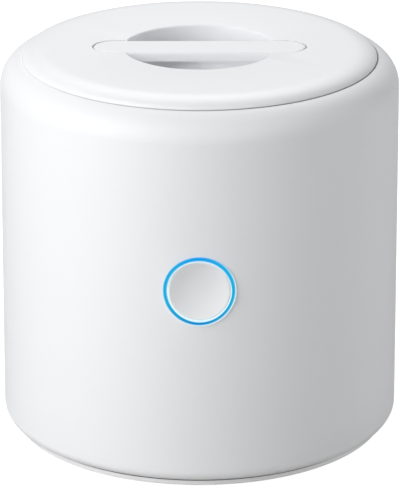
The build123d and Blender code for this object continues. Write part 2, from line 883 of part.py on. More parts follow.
# Light ring: a clear tube through the wall, its front following the wall and sloped at the outside
with BuildPart() as light_ring:
    with BuildSketch(front_plane(guide_front_d)):
        Circle(ring_flange_radius)
    extrude(amount=ring_flange_thickness)
    with BuildSketch(front_plane(ring_seat_d)):
        Circle(ring_outer_radius)
    extrude(amount=shell_wall + ring_seat_depth + wall_draft + ring_proud)
    with BuildSketch(level(button_z - ring_flange_radius)):
        Circle(wall_radius(button_z) + ring_proud)
    extrude(amount=2 * ring_flange_radius, mode=Mode.INTERSECT)
    chamfer(edges().filter_by(GeomType.CIRCLE, reverse=True).sort_by(Axis.Y)[0], ring_slope)
    with BuildSketch(front_plane(guide_front_d)):
        Circle(ring_inner_radius)
    extrude(amount=wall_foot_radius, mode=Mode.SUBTRACT)

# Button cap: dished face, skirt, two hooks behind the ring and the post on the switch
dish_radius = cap_radius - cap_dish_rim
dish_sphere_radius = (dish_radius**2 + cap_dish_depth**2) / (2 * cap_dish_depth)
cap_ceiling_d = cap_face_d - cap_dish_depth - cap_face_thickness

with BuildPart() as button_cap:
    with BuildSketch(front_plane(cap_hook_front_d)):
        Circle(cap_radius)
    extrude(amount=cap_face_d - cap_hook_front_d)
    fillet(edges().filter_by(GeomType.CIRCLE).sort_by(Axis.Y)[0], cap_edge_round)
    with Locations((0, -(cap_face_d - cap_dish_depth + dish_sphere_radius), button_z)):
        Sphere(dish_sphere_radius, mode=Mode.SUBTRACT)
    with BuildSketch(front_plane(cap_hook_front_d)):
        Circle(cap_bore_radius)
    extrude(amount=cap_ceiling_d - cap_hook_front_d, mode=Mode.SUBTRACT)
    with BuildSketch(front_plane(plunger_front_d)):
        Circle(cap_post_radius)
    extrude(amount=cap_ceiling_d - plunger_front_d)
    with BuildSketch(front_plane(cap_hook_front_d)):
        Circle(cap_hook_radius)
        Rectangle(2 * cap_hook_radius, cap_hook_width, mode=Mode.INTERSECT)
        Circle(cap_bore_radius, mode=Mode.SUBTRACT)
    extrude(amount=-cap_hook_thickness)

with BuildPart() as switch_plunger:
    with BuildSketch(front_plane(switch_front_d - plunger_sunk)):
        Circle(plunger_radius)
    extrude(amount=plunger_sunk + plunger_height)

# Button module: guide, board, switch, lamps of the ring and the lid sensor
guide_screw_points = corner_points(guide_screw_pitch_x, guide_screw_pitch_z)

with BuildPart() as button_guide:
    with BuildSketch(front_plane(button_board_front_d)):
        RectangleRounded(guide_width, guide_height, guide_corner)
        Circle(guide_hole_radius, mode=Mode.SUBTRACT)
        with Locations(*guide_screw_points):
            Circle(small_shank + hole_gap, mode=Mode.SUBTRACT)
    extrude(amount=guide_thickness)

with BuildPart() as button_board:
    with BuildSketch(front_plane(button_board_back_d)):
        with Locations((0, (guide_height / 2 + button_board_foot_z - button_z) / 2)):
            Rectangle(guide_width, guide_top_z - button_board_foot_z)
        with Locations((0, (guide_top_z + button_board_head_z) / 2 - button_z)):
            Rectangle(button_board_tongue, button_board_head_z - guide_top_z)
        with Locations(*guide_screw_points):
            Circle(small_shank + hole_gap, mode=Mode.SUBTRACT)
    extrude(amount=button_board_thickness)

button_board_screws = screws(
    front_plane(button_board_back_d),
    guide_screw_points,
    small_shank,
    small_head,
    small_head_height,
    button_board_thickness + guide_thickness + guide_boss_length - 2 * hole_gap,
)

with BuildPart() as tact_switch_body:
    with BuildSketch(front_plane(button_board_front_d)):
        RectangleRounded(switch_size, switch_size, switch_corner)
    extrude(amount=switch_height)
    with BuildSketch(front_plane(switch_front_d - plunger_well)):
        Circle(plunger_radius + plunger_fit)
    extrude(amount=plunger_well, mode=Mode.SUBTRACT)

with BuildPart() as ring_leds:
    with BuildSketch(front_plane(button_board_front_d)):
        with PolarLocations(ring_led_pitch_radius, ring_led_count, start_angle=180 / ring_led_count):
            Rectangle(ring_led_width, ring_led_length)
    extrude(amount=ring_led_height)

with BuildPart() as hall_sensor:
    with BuildSketch(front_plane(button_board_front_d, button_board_head_z - hall_margin)):
        Rectangle(hall_width, hall_length)
    extrude(amount=hall_height)

# Lid cover: rounded disc, finger well, pocket for the bar, bosses for the inner cover and keys
lid_boss_points = polar_points(lid_boss_pitch_radius, 4, 45)
bar_peg_points = [(-bar_peg_x, 0), (bar_peg_x, 0)]
pocket_length = bar_length + 2 * bar_gap
pocket_width = bar_width + 2 * bar_gap

with BuildPart() as lid_cover:
    with BuildSketch(Plane.XZ):
        with BuildLine():
            Polyline((0, skirt_z), (lid_radius, skirt_z), (lid_radius, lid_top_z), (0, lid_top_z), close=True)
        make_face()
        fillet(vertices().sort_by_distance((lid_radius, lid_top_z))[0], lid_edge_round)
    revolve(axis=Axis.Z)
    with BuildSketch(level(skirt_z)):
        Circle(skirt_bore_radius)
    extrude(amount=lid_ceiling_z - skirt_z, mode=Mode.SUBTRACT)
    with BuildSketch(level(well_bottom_z)):
        Circle(well_radius + well_wall)
        with Locations(*lid_boss_points):
            Circle(lid_boss_radius)
    extrude(amount=lid_ceiling_z - well_bottom_z)
    with BuildSketch(level(bar_pad_z)):
        SlotOverall(pocket_length + 2 * bar_pad_margin, pocket_width + 2 * bar_pad_margin)
    extrude(amount=lid_ceiling_z - bar_pad_z)
    with BuildSketch(Plane.XZ):
        with BuildLine():
            Polyline(
                (0, well_floor_z),
                (well_radius, well_floor_z),
                (well_radius, lid_top_z),
                (0, lid_top_z),
                close=True,
            )
        make_face()
        fillet(vertices().sort_by_distance((well_radius, well_floor_z))[0], well_floor_fillet)
    revolve(axis=Axis.Z, mode=Mode.SUBTRACT)
    fillet(
        edges().filter_by(GeomType.CIRCLE).group_by(Axis.Z)[-1].sort_by(SortBy.RADIUS)[0],
        well_rim_round,
    )
    with BuildSketch(level(bar_z)):
        SlotOverall(pocket_length, pocket_width)
    extrude(amount=bar_thickness, mode=Mode.SUBTRACT)
    with BuildSketch(level(bar_pad_z)):
        with Locations(*bar_peg_points):
            Circle(bar_peg_radius + hole_gap / 2)
    extrude(amount=bar_pad_thickness, mode=Mode.SUBTRACT)
    with BuildSketch(level(well_bottom_z)):
        with Locations(*lid_boss_points):
            Circle(large_shank + thread_fit)
    extrude(amount=lid_screw_grip + hole_gap, mode=Mode.SUBTRACT)
    with BuildSketch(level(skirt_z - key_depth)):
        Circle(lid_radius - key_gap)
        Circle(skirt_bore_radius, mode=Mode.SUBTRACT)
        Rectangle(2 * lid_radius, key_width, mode=Mode.INTERSECT)
    extrude(amount=key_depth)

# Grip bar: flush bar across the well, held at each end by a peg and a screw from below
with BuildPart() as grip_bar:
    with BuildSketch(level(bar_z)):
        SlotOverall(bar_length, bar_width)
    extrude(amount=bar_thickness)
    fillet(edges().group_by(Axis.Z)[-1], bar_edge_round)
    with BuildSketch(level(bar_pad_z)):
        with Locations(*bar_peg_points):
            Circle(bar_peg_radius)
    extrude(amount=bar_pad_thickness)
    with BuildSketch(level(bar_pad_z)):
        with Locations(*bar_peg_points):
            Circle(small_shank + thread_fit)
    extrude(amount=bar_screw_grip + hole_gap, mode=Mode.SUBTRACT)

bar_screws = screws(
    level(bar_pad_z),
    bar_peg_points,
    small_shank,
    large_head,
    small_head_height,
    bar_screw_grip,
)

# Lid plug: the inner cover, with recesses for the reflector, the screws and the seal
with BuildPart() as lid_plug:
    with BuildSketch(level(plug_z)):
        Circle(plug_radius)
    extrude(amount=plug_flange_z - plug_z)
    fillet(edges().group_by(Axis.Z)[0], plug_edge_fillet)
    with BuildSketch(level(skirt_z)):
        Circle(skirt_bore_radius - plug_flange_gap)
    extrude(amount=plug_flange_thickness)
    with BuildSketch(level(well_bottom_z)):
        Circle(plug_radius - plug_wall)
    extrude(amount=plug_flange_z - well_bottom_z, mode=Mode.SUBTRACT)
    with BuildSketch(level(well_bottom_z)):
        with Locations((0, magnet_y)):
            Circle(magnet_radius + magnet_wall)
    extrude(amount=magnet_height)
    with BuildSketch(level(well_bottom_z)):
        with Locations((0, magnet_y)):
            Circle(magnet_radius + magnet_fit)
    extrude(amount=magnet_height, mode=Mode.SUBTRACT)
    with BuildSketch(level(plug_z)):
        Circle(reflector_radius + reflector_fit)
    extrude(amount=reflector_thickness, mode=Mode.SUBTRACT)
    with BuildSketch(level(plug_ceiling_z)):
        with Locations(*lid_boss_points):
            Circle(large_head + head_gap)
    extrude(amount=large_head_height, mode=Mode.SUBTRACT)
    with BuildSketch(level(plug_ceiling_z)):
        with Locations(*lid_boss_points):
            Circle(large_shank + hole_gap)
    extrude(amount=plug_floor, mode=Mode.SUBTRACT)
    with BuildSketch(level(skirt_z)):
        Circle(seal_inner_radius + seal_width + seal_fit)
        Circle(seal_inner_radius - seal_fit, mode=Mode.SUBTRACT)
    extrude(amount=seal_groove_depth, mode=Mode.SUBTRACT)

with BuildPart() as lid_reflector:
    with BuildSketch(level(plug_z)):
        Circle(reflector_radius)
    extrude(amount=reflector_thickness)

with BuildPart() as lid_seal:
    with BuildSketch(level(skirt_z - seal_hang)):
        Circle(seal_inner_radius + seal_width)
        Circle(seal_inner_radius, mode=Mode.SUBTRACT)
    extrude(amount=seal_hang + seal_groove_depth)
    fillet(edges().group_by(Axis.Z)[0], seal_round)

with BuildPart() as lid_magnet:
    with BuildSketch(level(well_bottom_z)):
        with Locations((0, magnet_y)):
            Circle(magnet_radius)
    extrude(amount=magnet_height)

lid_screws = screws(
    level(plug_ceiling_z + large_head_height),
    lid_boss_points,
    large_shank,
    large_head,
    large_head_height,
    plug_floor - large_head_height + lid_screw_grip,
)

pieces = {
    "outer_shell": outer_shell,
    "base_cover": base_cover,
    "rubber_feet": rubber_feet,
    "base_screws": base_screws,
    "battery_cradle": battery_cradle,
    "cradle_screws": cradle_screws,
    "battery_cell": battery_cell,
    "battery_tabs": battery_tabs,
    "main_board": main_board,
    "board_screws": board_screws,
    "board_chips": board_chips,
    "board_capacitors": board_capacitors,
    "board_inductor": board_inductor,
    "usb_socket": usb_socket,
    "usb_tongue": usb_tongue,
    "port_bezel": port_bezel,
    "board_header": board_header,
    "lead_connector": lead_connector,
    "led_leads": led_leads,
    "button_board": button_board,
    "button_guide": button_guide,
    "button_board_screws": button_board_screws,
    "tact_switch_body": tact_switch_body,
    "ring_leds": ring_leds,
    "hall_sensor": hall_sensor,
    "light_ring": light_ring,
    "chamber_liner": chamber_liner,
    "chamber_rim": chamber_rim,
    "window_gasket": window_gasket,
    "quartz_window": quartz_window,
    "led_holder": led_holder,
    "uv_led_board": uv_led_board,
    "uv_leds": uv_leds,
    "heat_spreader": heat_spreader,
    "holder_screws": holder_screws,
    "soother_stand": soother_stand,
    "button_cap": button_cap,
    "switch_plunger": switch_plunger,
    "lid_cover": lid_cover,
    "grip_bar": grip_bar,
    "bar_screws": bar_screws,
    "lid_plug": lid_plug,
    "lid_reflector": lid_reflector,
    "lid_seal": lid_seal,
    "lid_screws": lid_screws,
    "lid_magnet": lid_magnet,
}

for name, piece in pieces.items():
    piece.part.label = name
    export_step(piece.part, f"parts/{name}.step")
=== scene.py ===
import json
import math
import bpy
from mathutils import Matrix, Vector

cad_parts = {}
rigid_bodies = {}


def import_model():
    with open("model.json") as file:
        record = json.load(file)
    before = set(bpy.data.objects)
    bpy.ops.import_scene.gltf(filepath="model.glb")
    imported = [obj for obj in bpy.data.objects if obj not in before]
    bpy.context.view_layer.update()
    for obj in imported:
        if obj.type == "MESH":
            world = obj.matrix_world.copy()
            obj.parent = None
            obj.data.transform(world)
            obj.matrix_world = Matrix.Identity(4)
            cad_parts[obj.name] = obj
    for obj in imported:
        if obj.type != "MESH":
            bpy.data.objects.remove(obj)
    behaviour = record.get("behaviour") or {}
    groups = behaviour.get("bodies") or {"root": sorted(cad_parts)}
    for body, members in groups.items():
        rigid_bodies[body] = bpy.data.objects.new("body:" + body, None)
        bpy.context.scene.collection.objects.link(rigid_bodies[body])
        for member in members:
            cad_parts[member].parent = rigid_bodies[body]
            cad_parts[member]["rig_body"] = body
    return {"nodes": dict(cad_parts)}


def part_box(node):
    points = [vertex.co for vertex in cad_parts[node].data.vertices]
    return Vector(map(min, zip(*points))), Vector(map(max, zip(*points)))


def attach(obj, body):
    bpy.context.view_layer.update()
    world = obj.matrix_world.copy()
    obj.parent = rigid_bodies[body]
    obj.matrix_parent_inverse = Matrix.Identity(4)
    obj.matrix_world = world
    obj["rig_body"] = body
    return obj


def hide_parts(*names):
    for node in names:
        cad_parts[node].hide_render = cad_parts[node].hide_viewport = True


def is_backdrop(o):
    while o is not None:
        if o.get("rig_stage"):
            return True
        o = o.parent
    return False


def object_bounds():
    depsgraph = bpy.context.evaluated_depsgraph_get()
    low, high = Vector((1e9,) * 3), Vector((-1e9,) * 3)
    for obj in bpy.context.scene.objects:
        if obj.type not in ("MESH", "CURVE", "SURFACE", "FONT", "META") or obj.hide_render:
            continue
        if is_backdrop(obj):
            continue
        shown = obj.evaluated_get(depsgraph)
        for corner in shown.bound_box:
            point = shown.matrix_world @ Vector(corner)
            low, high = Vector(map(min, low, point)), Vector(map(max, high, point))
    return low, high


bl_info = {
    "name": "Portable UV Steriliser",
    "version": (1, 0, 0),
    "blender": (4, 5, 0),
    "location": "3D View > Sidebar > Steriliser",
    "description": "Finishes a portable UV steriliser pot round its packed CAD model",
    "category": "Object",
}

import bmesh
import bpy
from mathutils import Matrix, Vector

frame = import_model()

NODES = frame["nodes"]
SLOTS = {name: node.data.materials[0].name for name, node in NODES.items()}
MM = 0.001
UP = Vector((0.0, 0.0, 1.0))
FORWARD = Vector((0.0, -1.0, 0.0))

MERGE = 0.001  # millimetres between points that are one
SLACK = 0.01  # slack of a comparison
SHADED_SHARP = math.radians(40)  # edges sharper than this are shaded sharp
CORNER = math.radians(50)  # edges sharper than this are softened
NOT_FLAT = math.radians(1)  # edges flatter than this are dissolved

BLACK = (0.0, 0.0, 0.0)
WHITE = (1.0, 1.0, 1.0)
GOLD = (0.95, 0.72, 0.32)
JET = (0.03, 0.03, 0.035)
GRAIN = 2.2  # bumps a millimetre in moulded plastic


def corners(name):
    """Lowest and highest corner of a CAD node, in millimetres."""
    low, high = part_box(name)
    return low / MM, high / MM


# Shader expressions


def arithmetic(operation, swapped=False):
    """A method for Wire that adds a Math node."""

    def method(self, *others):
        values = (*others, self) if swapped else (self, *others)
        return self.recipe.math(operation, *values)

    return method


class Wire:
    """One shader socket. Arithmetic on it adds its Math nodes, so 1 - mask works as it reads."""

    def __init__(self, recipe, socket):
        self.recipe = recipe
        self.socket = socket

    __add__ = __radd__ = arithmetic("ADD")
    __sub__ = arithmetic("SUBTRACT")
    __rsub__ = arithmetic("SUBTRACT", swapped=True)
    __mul__ = __rmul__ = arithmetic("MULTIPLY")
    __truediv__ = arithmetic("DIVIDE")
    __mod__ = arithmetic("FLOORED_MODULO")
    __pow__ = arithmetic("POWER")
    __lt__ = arithmetic("LESS_THAN")
    __gt__ = arithmetic("GREATER_THAN")
    __and__ = arithmetic("MINIMUM")
    __or__ = arithmetic("MAXIMUM")
    __abs__ = arithmetic("ABSOLUTE")


class Recipe:
    """The nodes of one material or of the world, and the shader that they feed."""

    def __init__(self, owner, shader):
        owner.use_nodes = True
        self.owner = owner
        self.tree = owner.node_tree
        self.shader = self.tree.nodes[shader]

    def node(self, kind, settings=None, inputs=None, output=0):
        """Adds a node, makes its settings first and then its sockets, and gives one of its outputs."""
        made = self.tree.nodes.new(kind)
        for name, value in (settings or {}).items():
            setattr(made, name, value)
        for name, value in (inputs or {}).items():
            if isinstance(value, Wire):
                self.tree.links.new(value.socket, made.inputs[name])
            else:
                made.inputs[name].default_value = value
        return Wire(self, made.outputs[output])

    def beside(self, wire, output):
        """Another output of the node that a wire comes from."""
        return Wire(self, wire.socket.node.outputs[output])

    def math(self, operation, *values):
        return self.node("ShaderNodeMath", {"operation": operation}, dict(enumerate(values)))

    def axes(self):
        """The x, y and z of a point of the object, in millimetres."""
        place = self.node("ShaderNodeTexCoord", output="Object")
        parts = self.node("ShaderNodeSeparateXYZ", inputs={"Vector": place})
        return [self.beside(parts, axis) * (1 / MM) for axis in "XYZ"]

    def faces(self, axis):
        """1 on faces that are square to an axis and 0 on those along it."""
        normal = self.node("ShaderNodeTexCoord", output="Normal")
        parts = self.node("ShaderNodeSeparateXYZ", inputs={"Vector": normal})
        return abs(self.beside(parts, axis)) > 0.5

    def vector(self, x, y, z=0.0):
        return self.node("ShaderNodeCombineXYZ", inputs={"X": x, "Y": y, "Z": z})

    def length(self, x, y):
        """Distance from the origin of a point in a plane."""
        return (x * x + y * y) ** 0.5

    def noise(self, scale, detail=2.0, place=None):
        """Noise from 0 to 1, with a scale in bumps a millimetre."""
        inputs = {"Vector": place or self.vector(*self.axes()), "Scale": scale, "Detail": detail}
        return self.node("ShaderNodeTexNoise", inputs=inputs)

    def chance(self, x, y):
        """An even chance from 0 to 1 for each whole cell of a plane."""
        place = self.vector(self.math("FLOOR", x), self.math("FLOOR", y))
        return self.node("ShaderNodeTexWhiteNoise", {"noise_dimensions": "3D"}, {"Vector": place})

    def clamp(self, value):
        return self.node("ShaderNodeClamp", inputs={"Value": value})

    def mix(self, factor, first, second):
        """A colour between two colours, each a wire or three numbers."""
        colours = [value if isinstance(value, Wire) else (*value, 1.0) for value in (first, second)]
        inputs = {0: factor, 6: colours[0], 7: colours[1]}
        return self.node("ShaderNodeMix", {"data_type": "RGBA"}, inputs, output=2)

    def feed(self, name, wire):
        self.tree.links.new(wire.socket, self.shader.inputs[name])

    def vary_gloss(self, pattern, roughness, spread):
        """Spreads the roughness round its middle value by a pattern from 0 to 1."""
        self.feed("Roughness", pattern * spread + (roughness - spread / 2))

    def bump(self, height, strength, depth):
        """Raises the surface by a height from 0 to 1, of a depth in millimetres."""
        inputs = {"Strength": strength, "Distance": depth * MM, "Height": height}
        self.feed("Normal", self.node("ShaderNodeBump", inputs=inputs))

    def seen(self, reflected):
        """1 where the camera looks, also through glass, less in a reflection, and 0 for light on the pot."""
        camera = self.node("ShaderNodeLightPath", output="Is Camera Ray")
        mirrored = self.beside(camera, "Is Glossy Ray") * reflected
        return camera | self.beside(camera, "Is Transmission Ray") | mirrored


def finish(name, colour, **constants):
    """A material on a Principled shader, with the numbers that are the same all over its surface."""
    material = bpy.data.materials.new(name)
    recipe = Recipe(material, "Principled BSDF")
    recipe.shader.inputs["Base Color"].default_value = (*colour, 1.0)
    for key, value in constants.items():
        socket = key.replace("_", " ").title().replace("Ior", "IOR")
        recipe.shader.inputs[socket].default_value = value
    return recipe


# Finishes of the pot's materials


def moulded(name, colour, roughness, grain, specular=0.35):
    """Moulded plastic or rubber with a fine grain, in its gloss and in its surface."""
    recipe = finish(name, colour, roughness=roughness, specular_ior_level=specular)
    fine = recipe.noise(GRAIN, 3.0)
    recipe.vary_gloss(fine, roughness, 0.12)
    recipe.bump(fine, grain, 0.03)
    return recipe


def shell_plastic(name):
    """Satin white moulding, with painted shade in the seams round the lid and the base, and painted light
    from the floor that makes its foot lighter.
    """
    look = bpy.context.scene.pot_shell
    recipe = moulded(name, look.shell_colour, look.shell_roughness, 0.05, look.shell_gloss)
    x, y, z = recipe.axes()
    radius = recipe.length(x, y)
    low, high = corners("outer_shell")
    lid_edge = corners("lid_cover")[1].x
    hidden, crest_depth = 0.25, 0.6
    width = look.seam_width / MM
    beside_lid = (radius > lid_edge + hidden) & (radius < lid_edge + look.rim_reach / MM + width)
    crest = (z > high.z - crest_depth) & (z < high.z + 2 * SLACK)
    # The lid's seam gets painted shade, full at the front and the right, and fading out at the left, where
    # the lamps light the seam
    lid_seam_shade = (beside_lid & crest) * recipe.clamp(x / radius * 0.8 + 0.7)
    # Painted shade along the seam between the shell's foot and the base cover
    base_seam_shade = recipe.clamp(2 - abs(z - low.z) / width * 2)
    # Painted light: the foot is made lighter, towards white, in place of the light that the floor bounces up
    # onto it
    foot = recipe.clamp(1 - (z - low.z) / (look.foot_light_height / MM))
    colour = recipe.mix(foot, look.shell_colour, look.foot_light_colour)
    shade = (lid_seam_shade | base_seam_shade) * look.seam_shade
    recipe.feed("Base Color", recipe.mix(shade, colour, look.seam_shade_colour))
    return recipe


def base_plastic(name):
    """White moulding of the base cover, with painted shade on the top of its ring, which lies in the seam
    under the shell.
    """
    look = bpy.context.scene.pot_shell
    recipe = moulded(name, look.base_colour, 0.5, 0.12)
    x, y, z = recipe.axes()
    ring_top = corners("outer_shell")[0].z - 0.36
    ring_edge = corners("base_cover")[1].x - 0.6
    # Painted shade on the top face of the ring, under the shell's overhang
    ring_top_shade = (z > ring_top) & (recipe.length(x, y) > ring_edge)
    recipe.feed("Base Color", recipe.mix(ring_top_shade * look.seam_shade, look.base_colour, look.seam_shade_colour))
    return recipe


def lit_ring(name):
    """Clear moulding lit from behind, paler where it is thin at both of its edges."""
    look = bpy.context.scene.pot_ring
    recipe = finish(
        name, look.ring_body_colour, specular_ior_level=0.1, emission_strength=look.ring_strength
    )
    low, high = corners("button_cap")
    x, _, z = recipe.axes()
    up = z - (low.z + high.z) / 2
    radius = recipe.length(x, up)
    shift = look.ring_shift / MM
    middle, half_width = look.ring_radius / MM, look.ring_half_width / MM
    off_middle = recipe.length(x + shift, up - 2 * shift) - middle
    edge = recipe.clamp(abs(off_middle) / half_width)
    glow = recipe.mix(recipe.clamp(abs(x) / radius), look.ring_colour, look.ring_side_colour)
    cloud = recipe.noise(0.14, 1.0) * 0.1
    fade = recipe.clamp(up / radius * -look.ring_fade) | cloud
    glow = recipe.mix(fade, glow, BLACK)
    bore = radius < middle - half_width + 0.1
    pale = edge**look.ring_falloff | bore
    recipe.feed("Emission Color", recipe.mix(pale, glow, look.ring_edge_colour))
    recipe.vary_gloss(recipe.noise(GRAIN, 3.0), 0.3, 0.1)
    return recipe


def turned_metal(name, colour, roughness, streak):
    """Bright metal with fine rings, as polishing on a turning lathe leaves them."""
    recipe = finish(name, colour, metallic=1.0)
    x, y, z = recipe.axes()
    rings = recipe.noise(6.0, 4.0, recipe.vector(recipe.length(x, y), z))
    recipe.vary_gloss(rings, roughness, streak)
    recipe.bump(rings, 0.08, 0.01)
    return recipe


def plated_metal(name, colour, roughness):
    """Plated metal with cloudy gloss."""
    recipe = finish(name, colour, metallic=1.0)
    recipe.vary_gloss(recipe.noise(0.9, 4.0), roughness, 0.2)
    recipe.bump(recipe.noise(7.0), 0.05, 0.01)
    return recipe


def circuit_board(name, mask, trace, core):
    """Solder mask over copper tracks, with bare plated holes and a bare edge."""
    recipe = finish(name, mask, specular_ior_level=0.5)
    low, high = corners("button_board")
    x, y, z = recipe.axes()
    upright = (y < high.y + 0.1) & (z > low.z - 0.1)
    level = 1 - upright
    across, along = x, y * level + z * upright
    patch = recipe.chance(across * 0.21, along * 0.17)
    track_pitch, track_width = 0.9, 0.3
    upward = ((across % track_pitch) < track_width) & (patch > 0.55)
    sideways = ((along % track_pitch) < track_width) & (patch < 0.3)
    track = upward | sideways
    pitch, pad_radius, drill_radius = 2.7, 0.42, 0.2
    hole = recipe.length((across % pitch) - pitch / 2, (along % pitch) - pitch / 2)
    via = (hole < pad_radius) & (recipe.chance(across / pitch, along / pitch) > 0.72)
    drilled = via & (hole < drill_radius)
    plating = (0.86, 0.62, 0.3)
    colour = recipe.mix(via, recipe.mix(track, mask, trace), plating)
    colour = recipe.mix(drilled, colour, core)
    face = recipe.faces("Z") * level + recipe.faces("Y") * upright
    recipe.feed("Base Color", recipe.mix(face, core, colour))
    recipe.feed("Metallic", via - drilled)
    recipe.feed("Roughness", 0.32 - track * 0.06 + drilled * 0.4)
    recipe.bump(track, 0.3, 0.03)
    return recipe


def cell_sleeve(name):
    """Shrink sleeve on the can, and bare plated steel at both of its ends."""
    look = bpy.context.scene.pot_inside
    recipe = finish(name, look.sleeve_colour)
    low, high = corners("battery_cell")
    x, y, z = recipe.axes()
    radius = recipe.length(y, z - (low.z + high.z) / 2)
    end, fold = 1.4, 1.5
    bare = (abs(x) > high.x - end) & (radius < high.y - fold)
    washer = (x > high.x - end) & (radius > 3.6) & (radius < 7.2)
    steel, paper = (0.7, 0.69, 0.66), (0.85, 0.85, 0.82)
    colour = recipe.mix(bare, look.sleeve_colour, steel)
    recipe.feed("Base Color", recipe.mix(washer, colour, paper))
    recipe.feed("Metallic", recipe.clamp(bare - washer))
    recipe.feed("Roughness", 0.34 - bare * 0.08 + washer * 0.3)
    recipe.bump(recipe.noise(0.5, 1.0), 0.12, 0.2)
    return recipe


def lead_rubber(name):
    """Silicone insulation, red on one lead and black on the other."""
    black, red = (0.02, 0.02, 0.022), (0.62, 0.05, 0.04)
    recipe = moulded(name, red, 0.5, 0.1)
    x = recipe.axes()[0]
    recipe.feed("Base Color", recipe.mix(x > 0.0, black, red))
    return recipe


def clear_sheet(name):
    """Clear quartz, which the lamps show through."""
    recipe = finish(name, (0.86, 0.92, 0.98), roughness=0.03, alpha=0.3, ior=1.46)
    recipe.bump(recipe.noise(0.05, 0.0), 0.1, 0.02)
    return recipe


def frosted_plastic(name):
    """Frosted clear moulding with a little light passing through it."""
    recipe = finish(name, (0.84, 0.87, 0.9), transmission_weight=0.45, ior=1.49)
    fine = recipe.noise(3.0, 3.0)
    recipe.vary_gloss(fine, 0.375, 0.15)
    recipe.bump(fine, 0.12, 0.03)
    return recipe


def seal_rubber(name):
    """Soft silicone with a milky body."""
    recipe = moulded(name, (0.8, 0.82, 0.84), 0.55, 0.08)
    recipe.shader.inputs["Subsurface Weight"].default_value = 0.2
    recipe.shader.inputs["Subsurface Scale"].default_value = 0.5 * MM
    return recipe


def switch_case(name):
    """Black switch body under a riveted steel plate."""
    recipe = finish(name, JET)
    low, high = corners("tact_switch_body")
    x, y, z = recipe.axes()
    up = z - (low.z + high.z) / 2
    half_side, to_rivet, rivet_radius = 2.8, 2.1, 0.42
    plate = (y < low.y + 0.25) & (abs(x) < half_side) & (abs(up) < half_side)
    rivet = recipe.length(abs(x) - to_rivet, abs(up) - to_rivet) < rivet_radius
    steel = recipe.clamp(plate - rivet)
    recipe.feed("Base Color", recipe.mix(steel, JET, (0.72, 0.72, 0.73)))
    recipe.feed("Metallic", steel)
    recipe.feed("Roughness", 0.55 - steel * 0.2)
    recipe.bump(recipe.noise(8.0), 0.1, 0.02)
    return recipe


def tongue_plastic(name):
    """Black tongue with gold contacts on both of its faces."""
    black = (0.03, 0.03, 0.032)
    recipe = finish(name, black)
    low, high = corners("usb_tongue")
    x, y, _ = recipe.axes()
    pitch, width, half_row = 0.5, 0.28, 3.0
    contact = ((x % pitch) < width) & (abs(x) < half_row) & (y > low.y + 0.8) & (y < high.y - 0.4)
    contact = contact & recipe.faces("Z")
    recipe.feed("Base Color", recipe.mix(contact, black, GOLD))
    recipe.feed("Metallic", contact)
    recipe.feed("Roughness", 0.5 - contact * 0.25)
    recipe.bump(contact, 0.5, 0.03)
    return recipe


# For each slot, the function that makes its finish and what the function is given
FINISHES = {
    "white_shell": (shell_plastic,),
    "white_base": (base_plastic,),
    "white_inner": (moulded, (0.8, 0.8, 0.81), 0.45, 0.08),
    "grey_frame": (moulded, (0.4, 0.41, 0.43), 0.6, 0.2),
    "foot_rubber": (moulded, (0.45, 0.46, 0.48), 0.85, 0.5),
    "seal_silicone": (seal_rubber,),
    "screw_steel": (plated_metal, (0.62, 0.62, 0.64), 0.34),
    "cell_wrap": (cell_sleeve,),
    "nickel": (plated_metal, (0.72, 0.7, 0.66), 0.28),
    "board_green": (circuit_board, (0.02, 0.16, 0.06), (0.04, 0.3, 0.11), (0.5, 0.45, 0.25)),
    "board_white": (circuit_board, (0.8, 0.81, 0.8), (0.7, 0.72, 0.71), (0.7, 0.71, 0.72)),
    "chip_black": (moulded, (0.03, 0.03, 0.033), 0.5, 0.35),
    "can_metal": (turned_metal, (0.78, 0.79, 0.8), 0.3, 0.2),
    "connector_nylon": (moulded, (0.85, 0.82, 0.7), 0.5, 0.1),
    "lead_red": (lead_rubber,),
    "polished_aluminium": (turned_metal, (0.86, 0.87, 0.89), 0.24, 0.18),
    "mirror_aluminium": (turned_metal, (0.92, 0.93, 0.94), 0.08, 0.04),
    "clear_quartz": (clear_sheet,),
    "lamp_ceramic": (moulded, (0.86, 0.82, 0.7), 0.6, 0.15),
    "light_blue": (lit_ring,),
    "clear_stand": (frosted_plastic,),
    "magnet_nickel": (plated_metal, (0.66, 0.66, 0.68), 0.18),
    "contact_gold": (plated_metal, GOLD, 0.28),
    "switch_case": (switch_case,),
    "tongue_plastic": (tongue_plastic,),
}


def finish_for(slot):
    """The finished material of a slot, made the first time it is asked for."""
    name = "finish_" + slot
    make, *details = FINISHES[slot]
    return bpy.data.materials.get(name) or make(name, *details).owner


def paint(*names, slot=None):
    """Gives CAD nodes the finish of their own slots, or of one slot."""
    for name in names:
        NODES[name].material_slots[0].material = finish_for(slot or SLOTS[name])


# Shapes, in millimetres until they become a piece


def at(point, way=UP):
    """The place of a shape that stands on a point with its z axis along a way."""
    return Matrix.Translation(point) @ way.to_track_quat("Z", "Y").to_matrix().to_4x4()


def extent(points):
    """Lowest and highest corner of some points."""
    return (Vector(map(pick, zip(*points))) for pick in (min, max))


def seat(points):
    """The size of the box round some points, and the place in the middle of its underside."""
    low, high = extent(points)
    return high - low, at(((low.x + high.x) / 2, (low.y + high.y) / 2, low.z))


def centred(count, pitch):
    """Offsets of things in a row, with the row's middle at zero."""
    return [(index - (count - 1) / 2) * pitch for index in range(count)]


def shifted(place, offsets, y=0.0, z=0.0):
    """A place moved to each offset along its own x axis, and along its y and z."""
    return [place @ Matrix.Translation((x, y, z)) for x in offsets]


